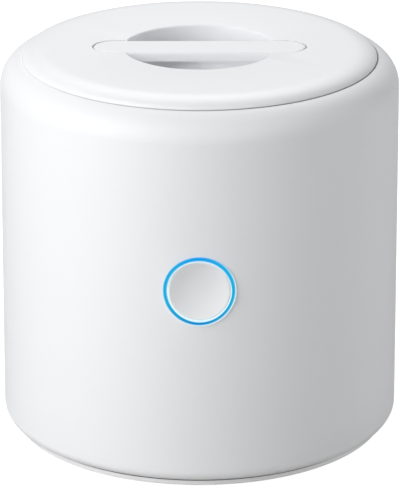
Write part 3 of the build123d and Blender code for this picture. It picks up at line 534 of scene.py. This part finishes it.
def lathe(outline, steps=48, ring=False):
    """Spins an outline of radii and heights round the z axis. A ring's outline closes on itself."""
    shape = bmesh.new()
    points = [shape.verts.new((radius, 0.0, height)) for radius, height in outline]
    pairs = list(zip(points, points[1:])) + ([(points[-1], points[0])] if ring else [])
    spun = points + [shape.edges.new(pair) for pair in pairs]
    bmesh.ops.spin(
        shape, geom=spun, axis=UP, cent=(0, 0, 0), angle=math.tau, steps=steps, use_merge=True
    )
    bmesh.ops.remove_doubles(shape, verts=shape.verts, dist=MERGE)
    bmesh.ops.recalc_face_normals(shape, faces=shape.faces)
    return shape


def rounded(radius, height, way):
    """Points of a quarter round, from level to upright for way 1 and back for way -1."""
    angles = [math.pi / 2 * step / 4 for step in range(5)][::way]
    return [(radius * math.sin(angle), height + radius * math.cos(angle)) for angle in angles]


def block(length, width, height, edge):
    """A box on z = 0 with softened edges."""
    shape = bmesh.new()
    place = Matrix.Translation((0.0, 0.0, height / 2)) @ Matrix.Diagonal((length, width, height, 1.0))
    bmesh.ops.create_cube(shape, size=1.0, matrix=place)
    soften(shape, shape.edges[:], edge)
    return shape


def soften(shape, edges, width):
    """Rounds edges by a width, or by less where there is no room for it."""
    bmesh.ops.bevel(
        shape, geom=edges, offset=width, clamp_overlap=True,
        segments=2, profile=0.5, affect="EDGES", material=-1,
    )


def sink_top(shape, margin, depth):
    """Lowers a shape's top inside a margin."""
    top = max(shape.faces, key=lambda face: face.calc_center_median().z)
    bmesh.ops.inset_region(shape, faces=[top], thickness=margin, depth=-depth)


def extrude_ring(shape, edges, radius, height):
    """Extrudes a closed ring of edges to a radius and a height, and gives the new ring."""
    made = bmesh.ops.extrude_edge_only(shape, edges=edges)["geom"]
    verts = {part for part in made if isinstance(part, bmesh.types.BMVert)}
    for vert in verts:
        vert.co = (*(vert.co.xy.normalized() * radius), height)
    return [part for part in made if isinstance(part, bmesh.types.BMEdge) and verts >= set(part.verts)]


def stamp(target, shape, places, finish_number=0):
    """Adds a copy of a shape to a target at each place, and uses the shape up."""
    mesh = bpy.data.meshes.new("shape")
    shape.to_mesh(mesh)
    shape.free()
    for place in places:
        first_vert, first_face = len(target.verts), len(target.faces)
        target.from_mesh(mesh)
        target.verts.ensure_lookup_table()
        target.faces.ensure_lookup_table()
        bmesh.ops.transform(target, matrix=place, verts=target.verts[first_vert:])
        for face in target.faces[first_face:]:
            face.material_index = finish_number
    bpy.data.meshes.remove(mesh)


def merged(name):
    """A merged copy of a CAD node's mesh, in millimetres."""
    shape = bmesh.new()
    shape.from_mesh(NODES[name].data)
    bmesh.ops.scale(shape, vec=(1 / MM,) * 3, verts=shape.verts)
    bmesh.ops.remove_doubles(shape, verts=shape.verts, dist=MERGE)
    return shape


def solids(name):
    """The points of each separate solid of a CAD node, in millimetres."""
    shape = merged(name)
    seen, groups = set(), []
    for start in shape.verts:
        if start in seen:
            continue
        seen.add(start)
        group, waiting = [], [start]
        while waiting:
            vert = waiting.pop()
            group.append(vert.co.copy())
            near = {edge.other_vert(vert) for edge in vert.link_edges} - seen
            seen |= near
            waiting += sorted(near, key=lambda other: other.index)
        groups.append(group)
    shape.free()
    return groups


def make_piece(name, shape, node, *slots):
    """Makes a shape an object that stands for a CAD node and rides on its body."""
    bmesh.ops.scale(shape, vec=(MM,) * 3, verts=shape.verts)
    bmesh.ops.recalc_face_normals(shape, faces=shape.faces)
    mesh = bpy.data.meshes.new(name)
    shape.to_mesh(mesh)
    shape.free()
    for stale in ("custom_normal", "sharp_edge"):
        if stale in mesh.attributes:
            mesh.attributes.remove(mesh.attributes[stale])
    mesh.shade_smooth()
    mesh.set_sharp_from_angle(angle=SHADED_SHARP)
    for slot in slots or (SLOTS[node],):
        mesh.materials.append(finish_for(slot))
    piece = bpy.data.objects.new(name, mesh)
    bpy.context.scene.collection.objects.link(piece)
    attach(piece, NODES[node]["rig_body"])
    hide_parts(node)


def make_softened(name, node, *slots):
    """Makes a copy of a CAD node whose sharp edges are softened."""
    width = bpy.context.scene.pot_inside.soft_edge / MM
    shape = merged(node)
    bmesh.ops.dissolve_limit(shape, angle_limit=NOT_FLAT, verts=shape.verts, edges=shape.edges)
    soften(shape, [edge for edge in shape.edges if edge.calc_face_angle(0.0) > CORNER], width)
    make_piece(name, shape, node, *slots)


# Sizes and colours that a user would change


def property_kind(make=bpy.props.FloatProperty, **limits):
    """A function that makes properties of one kind, from a name, a description and a default."""
    return lambda name, description, default: make(
        name=name, description=description, default=default, **limits
    )


colour_property = property_kind(bpy.props.FloatVectorProperty, subtype="COLOR", min=0.0, max=1.0)
length_property = property_kind(unit="LENGTH", min=0.0, precision=5)
angle_property = property_kind(unit="ROTATION")
factor_property = property_kind(subtype="FACTOR", min=0.0, max=1.0)
power_property = property_kind(unit="POWER", min=0.0)
lens_property = property_kind(unit="CAMERA")
number_property = property_kind(min=0.0)


class ShellSettings(bpy.types.PropertyGroup):
    shell_colour: colour_property("Shell colour", "Colour of the outer mouldings", (0.83, 0.835, 0.85))
    base_colour: colour_property("Base colour", "Colour of the base cover", (0.96, 0.96, 0.97))
    # Painted light at the shell's foot, standing in for light bounced up from the floor
    foot_light_colour: colour_property("Foot colour", "Lighter colour at the foot of the shell", (1.0, 1.0, 1.0))
    foot_light_height: length_property("Foot height", "How far up the lighter colour reaches", 3.0 * MM)
    shell_roughness: factor_property("Shell roughness", "Roughness of the outer mouldings", 0.45)
    shell_gloss: factor_property("Shell gloss", "Specular level of the outer mouldings", 0.15)
    # Painted shade in the seams: its colour, how dark it is and its reach
    seam_shade_colour: colour_property("Seam colour", "Colour in the seams", (0.12, 0.12, 0.13))
    seam_shade: factor_property("Seam shade", "How dark the seams are", 0.9)
    seam_width: length_property("Seam width", "Reach of the shade on each side of a seam", 0.3 * MM)
    lid_roll: length_property("Lid roll", "How far in from its rim the lid's top rolls down", 5.4 * MM)
    rim_reach: length_property("Rim reach", "How far the lid's rim reaches out over the seam", 0.6 * MM)
    rim_gap: length_property("Rim gap", "From the top of the shell up to the lid's rim", 0.03 * MM)


class RingSettings(bpy.types.PropertyGroup):
    ring_body_colour: colour_property("Body colour", "Colour of the unlit ring", (0.0, 0.02, 0.04))
    ring_colour: colour_property("Ring colour", "Colour that the light ring glows", (0.0, 0.33, 0.84))
    ring_side_colour: colour_property("Side colour", "Colour at the ring's sides", (0.0, 0.42, 0.72))
    ring_edge_colour: colour_property("Edge colour", "Paler colour at the ring's edges", (0.7, 0.92, 1.0))
    ring_strength: number_property("Ring strength", "How brightly the light ring glows", 1.0)
    ring_fade: factor_property("Ring fade", "How much darker the ring is at its bottom", 0.28)
    ring_round: length_property("Ring round", "Radius of the ring's rounded edges", 0.35 * MM)
    ring_radius: length_property("Ring radius", "Radius of the middle of the light ring", 7.42 * MM)
    ring_half_width: length_property("Ring half width", "From the middle of the ring to its edge", 0.52 * MM)
    ring_shift: length_property("Ring shift", "How far left the blue lies, and half of how far up", 0.1 * MM)
    ring_lip: length_property("Ring lip", "How far the ring's front reaches out over the wall", 0.2 * MM)
    ring_falloff: number_property("Ring falloff", "How sharply it turns pale at the edges", 3.5)


class InsideSettings(bpy.types.PropertyGroup):
    soft_edge: length_property("Soft edge", "Width of the inner mouldings' softened edges", 0.2 * MM)
    sleeve_colour: colour_property("Sleeve colour", "Colour of the battery cell's sleeve", (0.04, 0.16, 0.4))
    lead_pitch: length_property("Lead pitch", "From one lead of a chip to the next", 0.8 * MM)
    lead_width: length_property("Lead width", "Width of a chip's leads", 0.32 * MM)
    lead_reach: length_property("Lead reach", "How far a chip's leads stand out", 0.8 * MM)
    foot_groove: length_property("Foot groove", "Depth of the grooves under the feet", 0.3 * MM)
    foot_pitch: length_property("Foot pitch", "From one ring of a foot to the next", 1.1 * MM)


class StageSettings(bpy.types.PropertyGroup):
    lens: lens_property("Lens", "Focal length of the camera", 251.54)
    camera_side: length_property("Aside", "How far right of the pot's axis the camera is", 0.09 * MM)
    camera_distance: length_property("Distance", "From the pot's axis to the camera", 0.72878)
    camera_height: length_property("Height", "Height of the camera above the floor", 0.31238)
    camera_pitch: angle_property("Pitch", "How far the camera looks down", math.radians(20.369))
    lamp_size: length_property("Lamp size", "Side of each soft lamp", 0.4)
    lamp_distance: length_property("Lamp distance", "From the pot to each lamp", 0.8)
    key_power: power_property("Key lamp", "Power of the lamp low at the left", 3.23)
    high_power: power_property("High lamp", "Power of the lamp high at the left", 3.3)
    fill_power: power_property("Fill lamp", "Power of the lamp in front", 1.17)
    side_power: power_property("Side lamp", "Power of the lamp at the right", 2.2)
    back_power: power_property("Back lamp", "Power of the lamp behind", 3.85)
    reflected: factor_property("Reflected", "How bright the room is in reflections", 0.1)
    floor_colour: colour_property("Floor colour", "Colour of the floor in the lamps' light", (0.45,) * 3)
    floor_lift: factor_property("Floor lift", "How far the floor is lifted towards white", 0.89)


# Steps


class POT_OT_housing(bpy.types.Operator):
    """Finish the shell, the base cover, the bar, the lid's inner cover and the chamber's rim"""

    bl_idname = "pot.housing"
    bl_label = "Housing"

    def execute(self, context):
        paint("outer_shell", "base_cover", "grip_bar", "lid_plug", "chamber_rim")
        return {"FINISHED"}


class POT_OT_lid(bpy.types.Operator):
    """Make the lid cover, whose top rolls down softly into a thin rim just over the seam"""

    bl_idname = "pot.lid"
    bl_label = "Lid"

    def execute(self, context):
        look = context.scene.pot_shell
        edge, top = corners("lid_cover")[1].xz
        rim = edge + look.rim_reach / MM
        rim_z = corners("outer_shell")[1].z + look.rim_gap / MM
        roll = look.lid_roll / MM
        start, flat = rim - roll, top - MERGE
        shape = merged("lid_cover")
        flat_end = self.refine_flat(shape, flat, start)
        fillet = edge - flat_end
        quarter = math.pi / 2
        on_flat = math.asin((flat_end - start) / roll)
        # The roll takes this share of the points on the CAD's round, and the rest tuck in under the rim
        rim_share = 8 / 11
        tucked = ((0.85, rim - 0.12, rim_z - 0.05), (0.95, edge + 0.02, rim_z - 0.1))
        for vert in shape.verts:
            radius, rise = vert.co.xy.length, vert.co.z - (top - fillet)
            angle = share = 0.0
            if vert.co.z > flat:
                angle = math.asin(max(0.0, radius - start) / roll)
            elif abs(math.hypot(radius - flat_end, rise) - fillet) < SLACK:
                share = math.atan2(radius - flat_end, rise) / quarter
                angle = on_flat + (quarter - on_flat) * share / rim_share
            spots = [(place, level) for limit, place, level in tucked if share < limit]
            if angle < quarter + SLACK:
                spots = [(start + roll * math.sin(angle), rim_z + (top - rim_z) * math.cos(angle))]
            if angle > 0.0 and spots:
                place, level = spots[0]
                vert.co = (*(vert.co.xy.normalized() * place), level)
        make_piece("lid_top", shape, "lid_cover")
        return {"FINISHED"}

    def refine_flat(self, shape, flat, start):
        """Gives the flat top rings of points out from where the roll starts, and tells where it ended."""
        faces = [face for face in shape.faces if face.calc_center_median().z > flat]
        flat_end = max(vert.co.xy.length for face in faces for vert in face.verts)
        bmesh.ops.delete(shape, geom=faces, context="FACES")
        brink = [edge for edge in shape.edges if edge.is_boundary]
        outer = [edge for edge in brink if min(vert.co.xy.length for vert in edge.verts) > flat_end - SLACK]
        inner = [edge for edge in brink if edge not in outer]
        rings = 5
        # One more ring lies inside the roll, so that the fill beside it stays flat
        for index in range(1, rings + 2):
            radius = flat_end - (flat_end - start) * index / rings
            outer = extrude_ring(shape, outer, radius, flat + MERGE)
        bmesh.ops.triangle_fill(shape, edges=outer + inner, use_beauty=True)
        return flat_end


class POT_OT_button(bpy.types.Operator):
    """Finish the button and what is behind it"""

    bl_idname = "pot.button"
    bl_label = "Button"

    def execute(self, context):
        paint("button_cap", "switch_plunger", "hall_sensor")
        make_softened("button_frame", "button_guide")
        make_softened("switch_body", "tact_switch_body", "switch_case")
        make_softened("ring_lamps", "ring_leds")
        return {"FINISHED"}


class POT_OT_light_ring(bpy.types.Operator):
    """Make the light ring, rounded at both of its edges and curved with the wall"""

    bl_idname = "pot.light_ring"
    bl_label = "Light ring"

    def execute(self, context):
        look = context.scene.pot_ring
        low, high = corners("light_ring")
        middle = (low.z + high.z) / 2
        front, back, flange = -low.y, -high.y, high.x
        points = sum(solids("light_ring"), [])
        spots = [(math.hypot(point.x, point.z - middle), -point.y) for point in points]
        inner = min(spots)[0]
        outer = max(radius for radius, depth in spots if depth > (front + back) / 2)
        seat_depth = max(depth for radius, depth in spots if radius > (outer + flange) / 2)
        soft, lip = look.ring_round / MM, outer + look.ring_lip / MM
        land, under_lip = front - soft, front - soft - 0.1
        crown = [(inner + soft - x, z) for x, z in rounded(soft, land, -1)]
        crown += [(lip - soft + x, z) for x, z in rounded(soft, land, 1)]
        foot = [(outer, under_lip), (outer, seat_depth), (flange, seat_depth), (flange, back), (inner, back)]
        shape = lathe(crown + foot, 96, ring=True)
        # The front follows the round wall
        for vert in shape.verts:
            if vert.co.z > under_lip - 0.1:
                vert.co.z = math.sqrt(vert.co.z**2 - vert.co.x**2)
        bmesh.ops.transform(shape, matrix=at((0.0, 0.0, middle), FORWARD), verts=shape.verts)
        make_piece("glow_ring", shape, "light_ring")
        return {"FINISHED"}


class POT_OT_chamber(bpy.types.Operator):
    """Finish the chamber, its window and the parts under the lid"""

    bl_idname = "pot.chamber"
    bl_label = "Chamber"

    def execute(self, context):
        paint("chamber_liner", "quartz_window", "window_gasket", "lid_reflector", "lid_seal", "lid_magnet")
        make_softened("soother_grid", "soother_stand")
        make_softened("lamp_holder", "led_holder")
        make_softened("cooling_plate", "heat_spreader")
        return {"FINISHED"}


class POT_OT_lamps(bpy.types.Operator):
    """Make the UV lamps: a ceramic package, a gold rim and a quartz lens over the emitter"""

    bl_idname = "pot.lamps"
    bl_label = "UV lamps"

    def execute(self, context):
        target = bmesh.new()
        for points in solids("uv_leds"):
            size, foot = seat(points)
            side, height = size.x, size.z
            body, shelf = height - 0.4, height - 0.3
            lens, rim = 0.34 * side, 0.43 * side
            stamp(target, block(side, side, body, 0.12), [foot], 0)
            band = [(lens, body - 0.1), (lens, shelf + 0.05), (rim, shelf + 0.05), (rim, body - 0.1)]
            stamp(target, lathe(band, 32, ring=True), [foot], 1)
            stamp(target, block(1.0, 1.0, 0.1, 0.02), shifted(foot, [0.0], z=body), 1)
            parts = (0.0, 0.35, 0.65, 0.9, 0.98)
            dome = [(lens * part, height - 0.25 * part**2) for part in parts]
            dome += [(lens * parts[-1], shelf - 0.05), (0.0, shelf - 0.05)]
            stamp(target, lathe(dome, 32), [foot], 2)
        make_piece("lamp_packages", target, "uv_leds", "lamp_ceramic", "contact_gold", "clear_quartz")
        return {"FINISHED"}


def screw_shape(head, head_height, shank, length):
    """A pan-head screw with a cross recess. The face of its head is at zero and its tip points up."""
    shape = bmesh.new()
    bmesh.ops.create_grid(shape, x_segments=5, y_segments=5, size=1.0)
    steps = {1: 0.12, 3: 0.52, 5: 1.0}
    for vert in shape.verts:
        x, y = (math.copysign(steps[round(abs(value) * 5)], value) for value in vert.co.xy)
        place = Vector((x, y))
        if max(abs(x), abs(y)) == steps[5]:
            place.normalize()
        vert.co = (*(place * head * 0.88), head_height * 0.3 * place.length_squared)
    middles = {face: face.calc_center_median().xy for face in shape.faces}
    cross = [face for face, spot in middles.items() if min(map(abs, spot)) < head * 0.01]
    cross = [face for face in cross if middles[face].length < head * 0.5]
    bmesh.ops.inset_region(
        shape, faces=cross, thickness=head * 0.02, depth=head_height * 0.55, use_even_offset=True
    )
    rim = [edge for edge in shape.edges if edge.is_boundary]
    rings = [(head, head_height * 0.55), (head, head_height), (shank, head_height)]
    rings += [(shank, length - shank), (shank * 0.5, length)]
    for radius, height in rings:
        rim = extrude_ring(shape, rim, radius, height)
    bmesh.ops.edgeloop_fill(shape, edges=rim)
    return shape


class POT_OT_screws(bpy.types.Operator):
    """Make the screws, each in the place and size of its CAD solid"""

    bl_idname = "pot.screws"
    bl_label = "Screws"

    def execute(self, context):
        for node, piece in (
            ("base_screws", "foot_screws"),
            ("cradle_screws", "cell_tray_screws"),
            ("board_screws", "main_board_screws"),
            ("button_board_screws", "button_screws"),
            ("holder_screws", "lamp_screws"),
            ("bar_screws", "grip_screws"),
            ("lid_screws", "plug_screws"),
        ):
            axis = FORWARD if node == "button_board_screws" else UP
            target = bmesh.new()
            for points in solids(node):
                stamp(target, *self.fitted(points, axis))
            make_piece(piece, target, node)
        return {"FINISHED"}

    def fitted(self, points, axis):
        """A screw in the size of a solid, and its place."""
        low, high = extent(points)
        centre = (low + high) / 2
        half = abs((high - low).dot(axis)) / 2
        spots = []
        for point in points:
            height = (point - centre).dot(axis)
            spots.append(((point - centre - axis * height).length, height))
        end = half - 0.05
        up, down = (max(reach for reach, height in spots if height * way > end) for way in (1, -1))
        way = 1 if down > up else -1
        head, shank = max(up, down), min(up, down)
        wide = [height * way for reach, height in spots if reach > (head + shank) / 2]
        shape = screw_shape(head, max(wide) + half, shank, 2 * half)
        return shape, [at(centre - axis * way * half, axis * way)]


class POT_OT_feet(bpy.types.Operator):
    """Make the rubber feet with their rings"""

    bl_idname = "pot.feet"
    bl_label = "Rubber feet"

    def execute(self, context):
        look = context.scene.pot_inside
        depth, pitch = look.foot_groove / MM, look.foot_pitch / MM
        target = bmesh.new()
        for points in solids("rubber_feet"):
            size, place = seat(points)
            radius = size.x / 2
            outline = [(0.0, depth)]
            ring = pitch
            while ring + pitch / 2 < radius:
                inner, outer = ring - pitch / 4, ring + pitch / 4
                outline += [(inner - 0.1, depth), (inner, 0.0), (outer, 0.0), (outer + 0.1, depth)]
                ring += pitch
            outline += [(radius - 0.4, depth), (radius - 0.3, 0.0), (radius - 0.1, 0.0), (radius, 0.1)]
            outline += [(radius, size.z), (0.0, size.z)]
            stamp(target, lathe(outline), [place])
        make_piece("foot_pads", target, "rubber_feet")
        return {"FINISHED"}


class POT_OT_battery(bpy.types.Operator):
    """Finish the battery cell, its tabs and its cradle"""

    bl_idname = "pot.battery"
    bl_label = "Battery"

    def execute(self, context):
        paint("battery_cell", "battery_tabs")
        make_softened("cell_tray", "battery_cradle")
        return {"FINISHED"}


class POT_OT_boards(bpy.types.Operator):
    """Finish the three circuit boards"""

    bl_idname = "pot.boards"
    bl_label = "Boards"

    def execute(self, context):
        paint("main_board", "button_board", "uv_led_board")
        return {"FINISHED"}


def lead_shape(width, reach, rise):
    """One lead that leaves a chip's side, steps down and lands on the board."""
    shape = bmesh.new()
    bmesh.ops.create_grid(shape, x_segments=1, y_segments=3, size=0.5)
    thickness, landed = 0.12, 0.14
    path = ((-0.1, rise), (0.3 * reach, rise), (0.5 * reach, landed), (reach, landed))
    for vert in shape.verts:
        vert.co = (vert.co.x * width, *path[round((vert.co.y + 0.5) * 3)])
    bmesh.ops.solidify(shape, geom=shape.faces[:], thickness=thickness)
    return shape


class POT_OT_chips(bpy.types.Operator):
    """Make the chips, with their slightly sunk tops and their leads"""

    bl_idname = "pot.chips"
    bl_label = "Chips"

    def execute(self, context):
        look = context.scene.pot_inside
        pitch, width, reach = look.lead_pitch / MM, look.lead_width / MM, look.lead_reach / MM
        clear, end = 0.1, 0.2
        target = bmesh.new()
        for points in solids("board_chips"):
            size, foot = seat(points)
            if size.y > size.x:
                foot @= Matrix.Rotation(math.pi / 2, 4, "Z")
            long, short = max(size.xy), min(size.xy)
            body = block(long, short - 2 * reach, size.z - clear, 0.1)
            sink_top(body, 0.15, 0.02)
            stamp(target, body, shifted(foot, [0.0], z=clear), 0)
            offsets = centred(int((long - 2 * end) / pitch), pitch)
            leads = shifted(foot, offsets, short / 2 - reach)
            leads += shifted(foot @ Matrix.Rotation(math.pi, 4, "Z"), offsets, short / 2 - reach)
            stamp(target, lead_shape(width, reach, size.z / 2), leads, 1)
        make_piece("chip_packages", target, "board_chips", "chip_black", "nickel")
        return {"FINISHED"}


class POT_OT_power_parts(bpy.types.Operator):
    """Make the capacitors and the inductor"""

    bl_idname = "pot.power_parts"
    bl_label = "Capacitors and inductor"

    def execute(self, context):
        self.make_capacitors()
        self.make_inductor()
        return {"FINISHED"}

    def make_capacitors(self):
        target = bmesh.new()
        for points in solids("board_capacitors"):
            size, foot = seat(points)
            side, can, soft = size.x * 0.98, size.x * 0.48, 0.4
            face, ink, mark_radius = size.z - 0.08, size.z - 0.03, can - 0.75
            stamp(target, block(side, side, 0.9, 0.2), [foot], 1)
            outline = [(0.0, 0.5), (can, 0.5), (can, 1.2), (can - 0.25, 1.5), (can, 1.8)]
            outline += [(can - soft + x, z) for x, z in rounded(soft, size.z - soft, 1)[::-1]]
            outline += [(can - 0.7, face), (0.0, face)]
            stamp(target, lathe(outline, 40), [foot], 0)
            mark = lathe([(0.0, face), (mark_radius, face), (mark_radius, ink), (0.0, ink)], 40)
            geom = mark.verts[:] + mark.edges[:] + mark.faces[:]
            cut = (-can * 0.35, 0, 0)
            bmesh.ops.bisect_plane(mark, geom=geom, plane_co=cut, plane_no=(1, 0, 0), clear_outer=True)
            bmesh.ops.holes_fill(mark, edges=[edge for edge in mark.edges if edge.is_boundary])
            stamp(target, mark, [foot], 1)
        make_piece("capacitor_cans", target, "board_capacitors", "can_metal", "chip_black")

    def make_inductor(self):
        size, foot = seat(corners("board_inductor"))
        target = bmesh.new()
        stamp(target, block(size.x - 0.5, size.y - 0.1, size.z - 0.5, 0.7), [foot], 0)
        core, top = 0.4 * size.x, size.z
        drum = [(0.0, top), (core - 0.5, top), (core - 0.4, top - 0.1), (core - 0.4, top - 0.5)]
        drum += [(core - 0.1, top - 0.5), (core - 0.1, top - 0.25), (core + 0.3, top - 0.25)]
        drum += [(core + 0.3, top - 0.8), (0.0, top - 0.8)]
        stamp(target, lathe(drum), [foot], 0)
        tab = 0.6
        stamp(target, block(tab, 2.8, top * 0.6, 0.1), shifted(foot, centred(2, size.x - tab)), 1)
        make_piece("inductor_core", target, "board_inductor", "chip_black", "nickel")


class POT_OT_connectors(bpy.types.Operator):
    """Make the board header and the lead connector, and finish the leads"""

    bl_idname = "pot.connectors"
    bl_label = "Connectors"

    def execute(self, context):
        paint("led_leads")
        self.make_header()
        self.make_lead_socket()
        return {"FINISHED"}

    def make_header(self):
        size, foot = seat(corners("board_header"))
        count, pin = 5, 0.64
        pitch = size.x / count
        cells = shifted(foot, centred(count, pitch))
        target = bmesh.new()
        stamp(target, block(pitch, size.y, size.z - 0.5, 0.25), cells, 0)
        stamp(target, block(pin, pin, size.z, 0.08), cells, 1)
        make_piece("header_pins", target, "board_header", "chip_black", "contact_gold")

    def make_lead_socket(self):
        size, foot = seat(corners("lead_connector"))
        body = block(size.x - 0.6, size.y, size.z, 0.15)
        sink_top(body, 0.55, 0.9)
        target = bmesh.new()
        stamp(target, body, [foot], 0)
        ear = 0.4
        stamp(target, block(ear, 2.0, 1.2, 0.08), shifted(foot, centred(2, size.x - ear), 0.4), 1)
        make_piece("lead_socket", target, "lead_connector", "connector_nylon", "nickel")


class POT_OT_inlet(bpy.types.Operator):
    """Finish the charging inlet"""

    bl_idname = "pot.inlet"
    bl_label = "Charging inlet"

    def execute(self, context):
        paint("usb_socket", "port_bezel")
        paint("usb_tongue", slot="tongue_plastic")
        return {"FINISHED"}


# Azimuth and elevation of each lamp in degrees. Azimuth 0 is in front and 90 at the right.
LAMPS = {"key": (-50, 15), "high": (-60, 45), "fill": (20, 15), "side": (90, 15), "back": (180, 45)}


def soft_lamp(name, stage):
    """A soft square lamp that looks at the pot."""
    turn, rise = map(math.radians, LAMPS[name])
    way = Vector((math.sin(turn) * math.cos(rise), -math.cos(turn) * math.cos(rise), math.sin(rise)))
    low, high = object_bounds()
    light = bpy.data.lights.new(name + "_lamp", "AREA")
    light.shape = "SQUARE"
    light.size = stage.lamp_size
    light.energy = getattr(stage, name + "_power")
    lamp = bpy.data.objects.new(name + "_lamp", light)
    lamp.location = (Vector(low) + Vector(high)) / 2 + way * stage.lamp_distance
    lamp.rotation_euler = (-way).to_track_quat("-Z", "Y").to_euler()
    bpy.context.scene.collection.objects.link(lamp)


class POT_OT_stage(bpy.types.Operator):
    """Add the floor, the lamps, the world and the camera"""

    bl_idname = "pot.stage"
    bl_label = "Stage"

    def execute(self, context):
        stage = context.scene.pot_stage
        for name in LAMPS:
            soft_lamp(name, stage)
        self.add_floor(context.scene, stage)
        self.add_world(context.scene, stage)
        self.add_camera(context.scene, stage)
        return {"FINISHED"}

    def add_floor(self, scene, stage):
        half_side, white_from, fade_width = 3.0, 280.0, 400.0
        shape = bmesh.new()
        bmesh.ops.create_grid(shape, x_segments=1, y_segments=1, size=half_side)
        mesh = bpy.data.meshes.new("floor")
        shape.to_mesh(mesh)
        shape.free()
        recipe = finish("floor_paper", stage.floor_colour, roughness=1.0, specular_ior_level=0.0)
        x, y, _ = recipe.axes()
        far = recipe.clamp((recipe.length(x, y) - white_from) / fade_width)
        recipe.feed("Emission Color", recipe.mix(far, (stage.floor_lift,) * 3, WHITE))
        recipe.feed("Emission Strength", recipe.seen(stage.reflected))
        mesh.materials.append(recipe.owner)
        floor = bpy.data.objects.new("floor", mesh)
        scene.collection.objects.link(floor)
        floor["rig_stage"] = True

    def add_world(self, scene, stage):
        scene.world = bpy.data.worlds.new("studio")
        recipe = Recipe(scene.world, "Background")
        recipe.shader.inputs["Color"].default_value = (*WHITE, 1.0)
        recipe.feed("Strength", recipe.seen(stage.reflected))

    def add_camera(self, scene, stage):
        data = bpy.data.cameras.new("camera")
        data.lens = stage.lens
        data.clip_start, data.clip_end = 0.05, 20.0
        camera = bpy.data.objects.new("camera", data)
        camera.location = (stage.camera_side, -stage.camera_distance, stage.camera_height)
        camera.rotation_euler = (math.pi / 2 - stage.camera_pitch, 0.0, 0.0)
        scene.collection.objects.link(camera)
        scene.camera = camera
        scene.view_settings.view_transform = "Standard"


class POT_PT_panel(bpy.types.Panel):
    """Lists the sizes, the colours and the steps"""

    bl_label = "Steriliser"
    bl_idname = "POT_PT_panel"
    bl_space_type = "VIEW_3D"
    bl_region_type = "UI"
    bl_category = "Steriliser"

    def draw(self, context):
        for name, group in GROUPS.items():
            settings = getattr(context.scene, name)
            box = self.layout.box()
            for field in group.__annotations__:
                box.prop(settings, field)
        for operator in OPERATORS:
            self.layout.operator(operator.bl_idname)


GROUPS = {
    "pot_shell": ShellSettings,
    "pot_ring": RingSettings,
    "pot_inside": InsideSettings,
    "pot_stage": StageSettings,
}
OPERATORS = (
    POT_OT_housing,
    POT_OT_lid,
    POT_OT_button,
    POT_OT_light_ring,
    POT_OT_chamber,
    POT_OT_lamps,
    POT_OT_screws,
    POT_OT_feet,
    POT_OT_battery,
    POT_OT_boards,
    POT_OT_chips,
    POT_OT_power_parts,
    POT_OT_connectors,
    POT_OT_inlet,
    POT_OT_stage,
)
CLASSES = (*GROUPS.values(), *OPERATORS, POT_PT_panel)


def register():
    for cls in CLASSES:
        bpy.utils.register_class(cls)
    for name, group in GROUPS.items():
        setattr(bpy.types.Scene, name, bpy.props.PointerProperty(type=group))


def unregister():
    for name in GROUPS:
        delattr(bpy.types.Scene, name)
    for cls in reversed(CLASSES):
        bpy.utils.unregister_class(cls)


def main():
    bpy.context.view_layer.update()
    register()
    bpy.ops.pot.housing()
    bpy.ops.pot.lid()
    bpy.ops.pot.button()
    bpy.ops.pot.light_ring()
    bpy.ops.pot.chamber()
    bpy.ops.pot.lamps()
    bpy.ops.pot.screws()
    bpy.ops.pot.feet()
    bpy.ops.pot.battery()
    bpy.ops.pot.boards()
    bpy.ops.pot.chips()
    bpy.ops.pot.power_parts()
    bpy.ops.pot.connectors()
    bpy.ops.pot.inlet()
    bpy.ops.pot.stage()


if __name__ == "__main__":
    main()
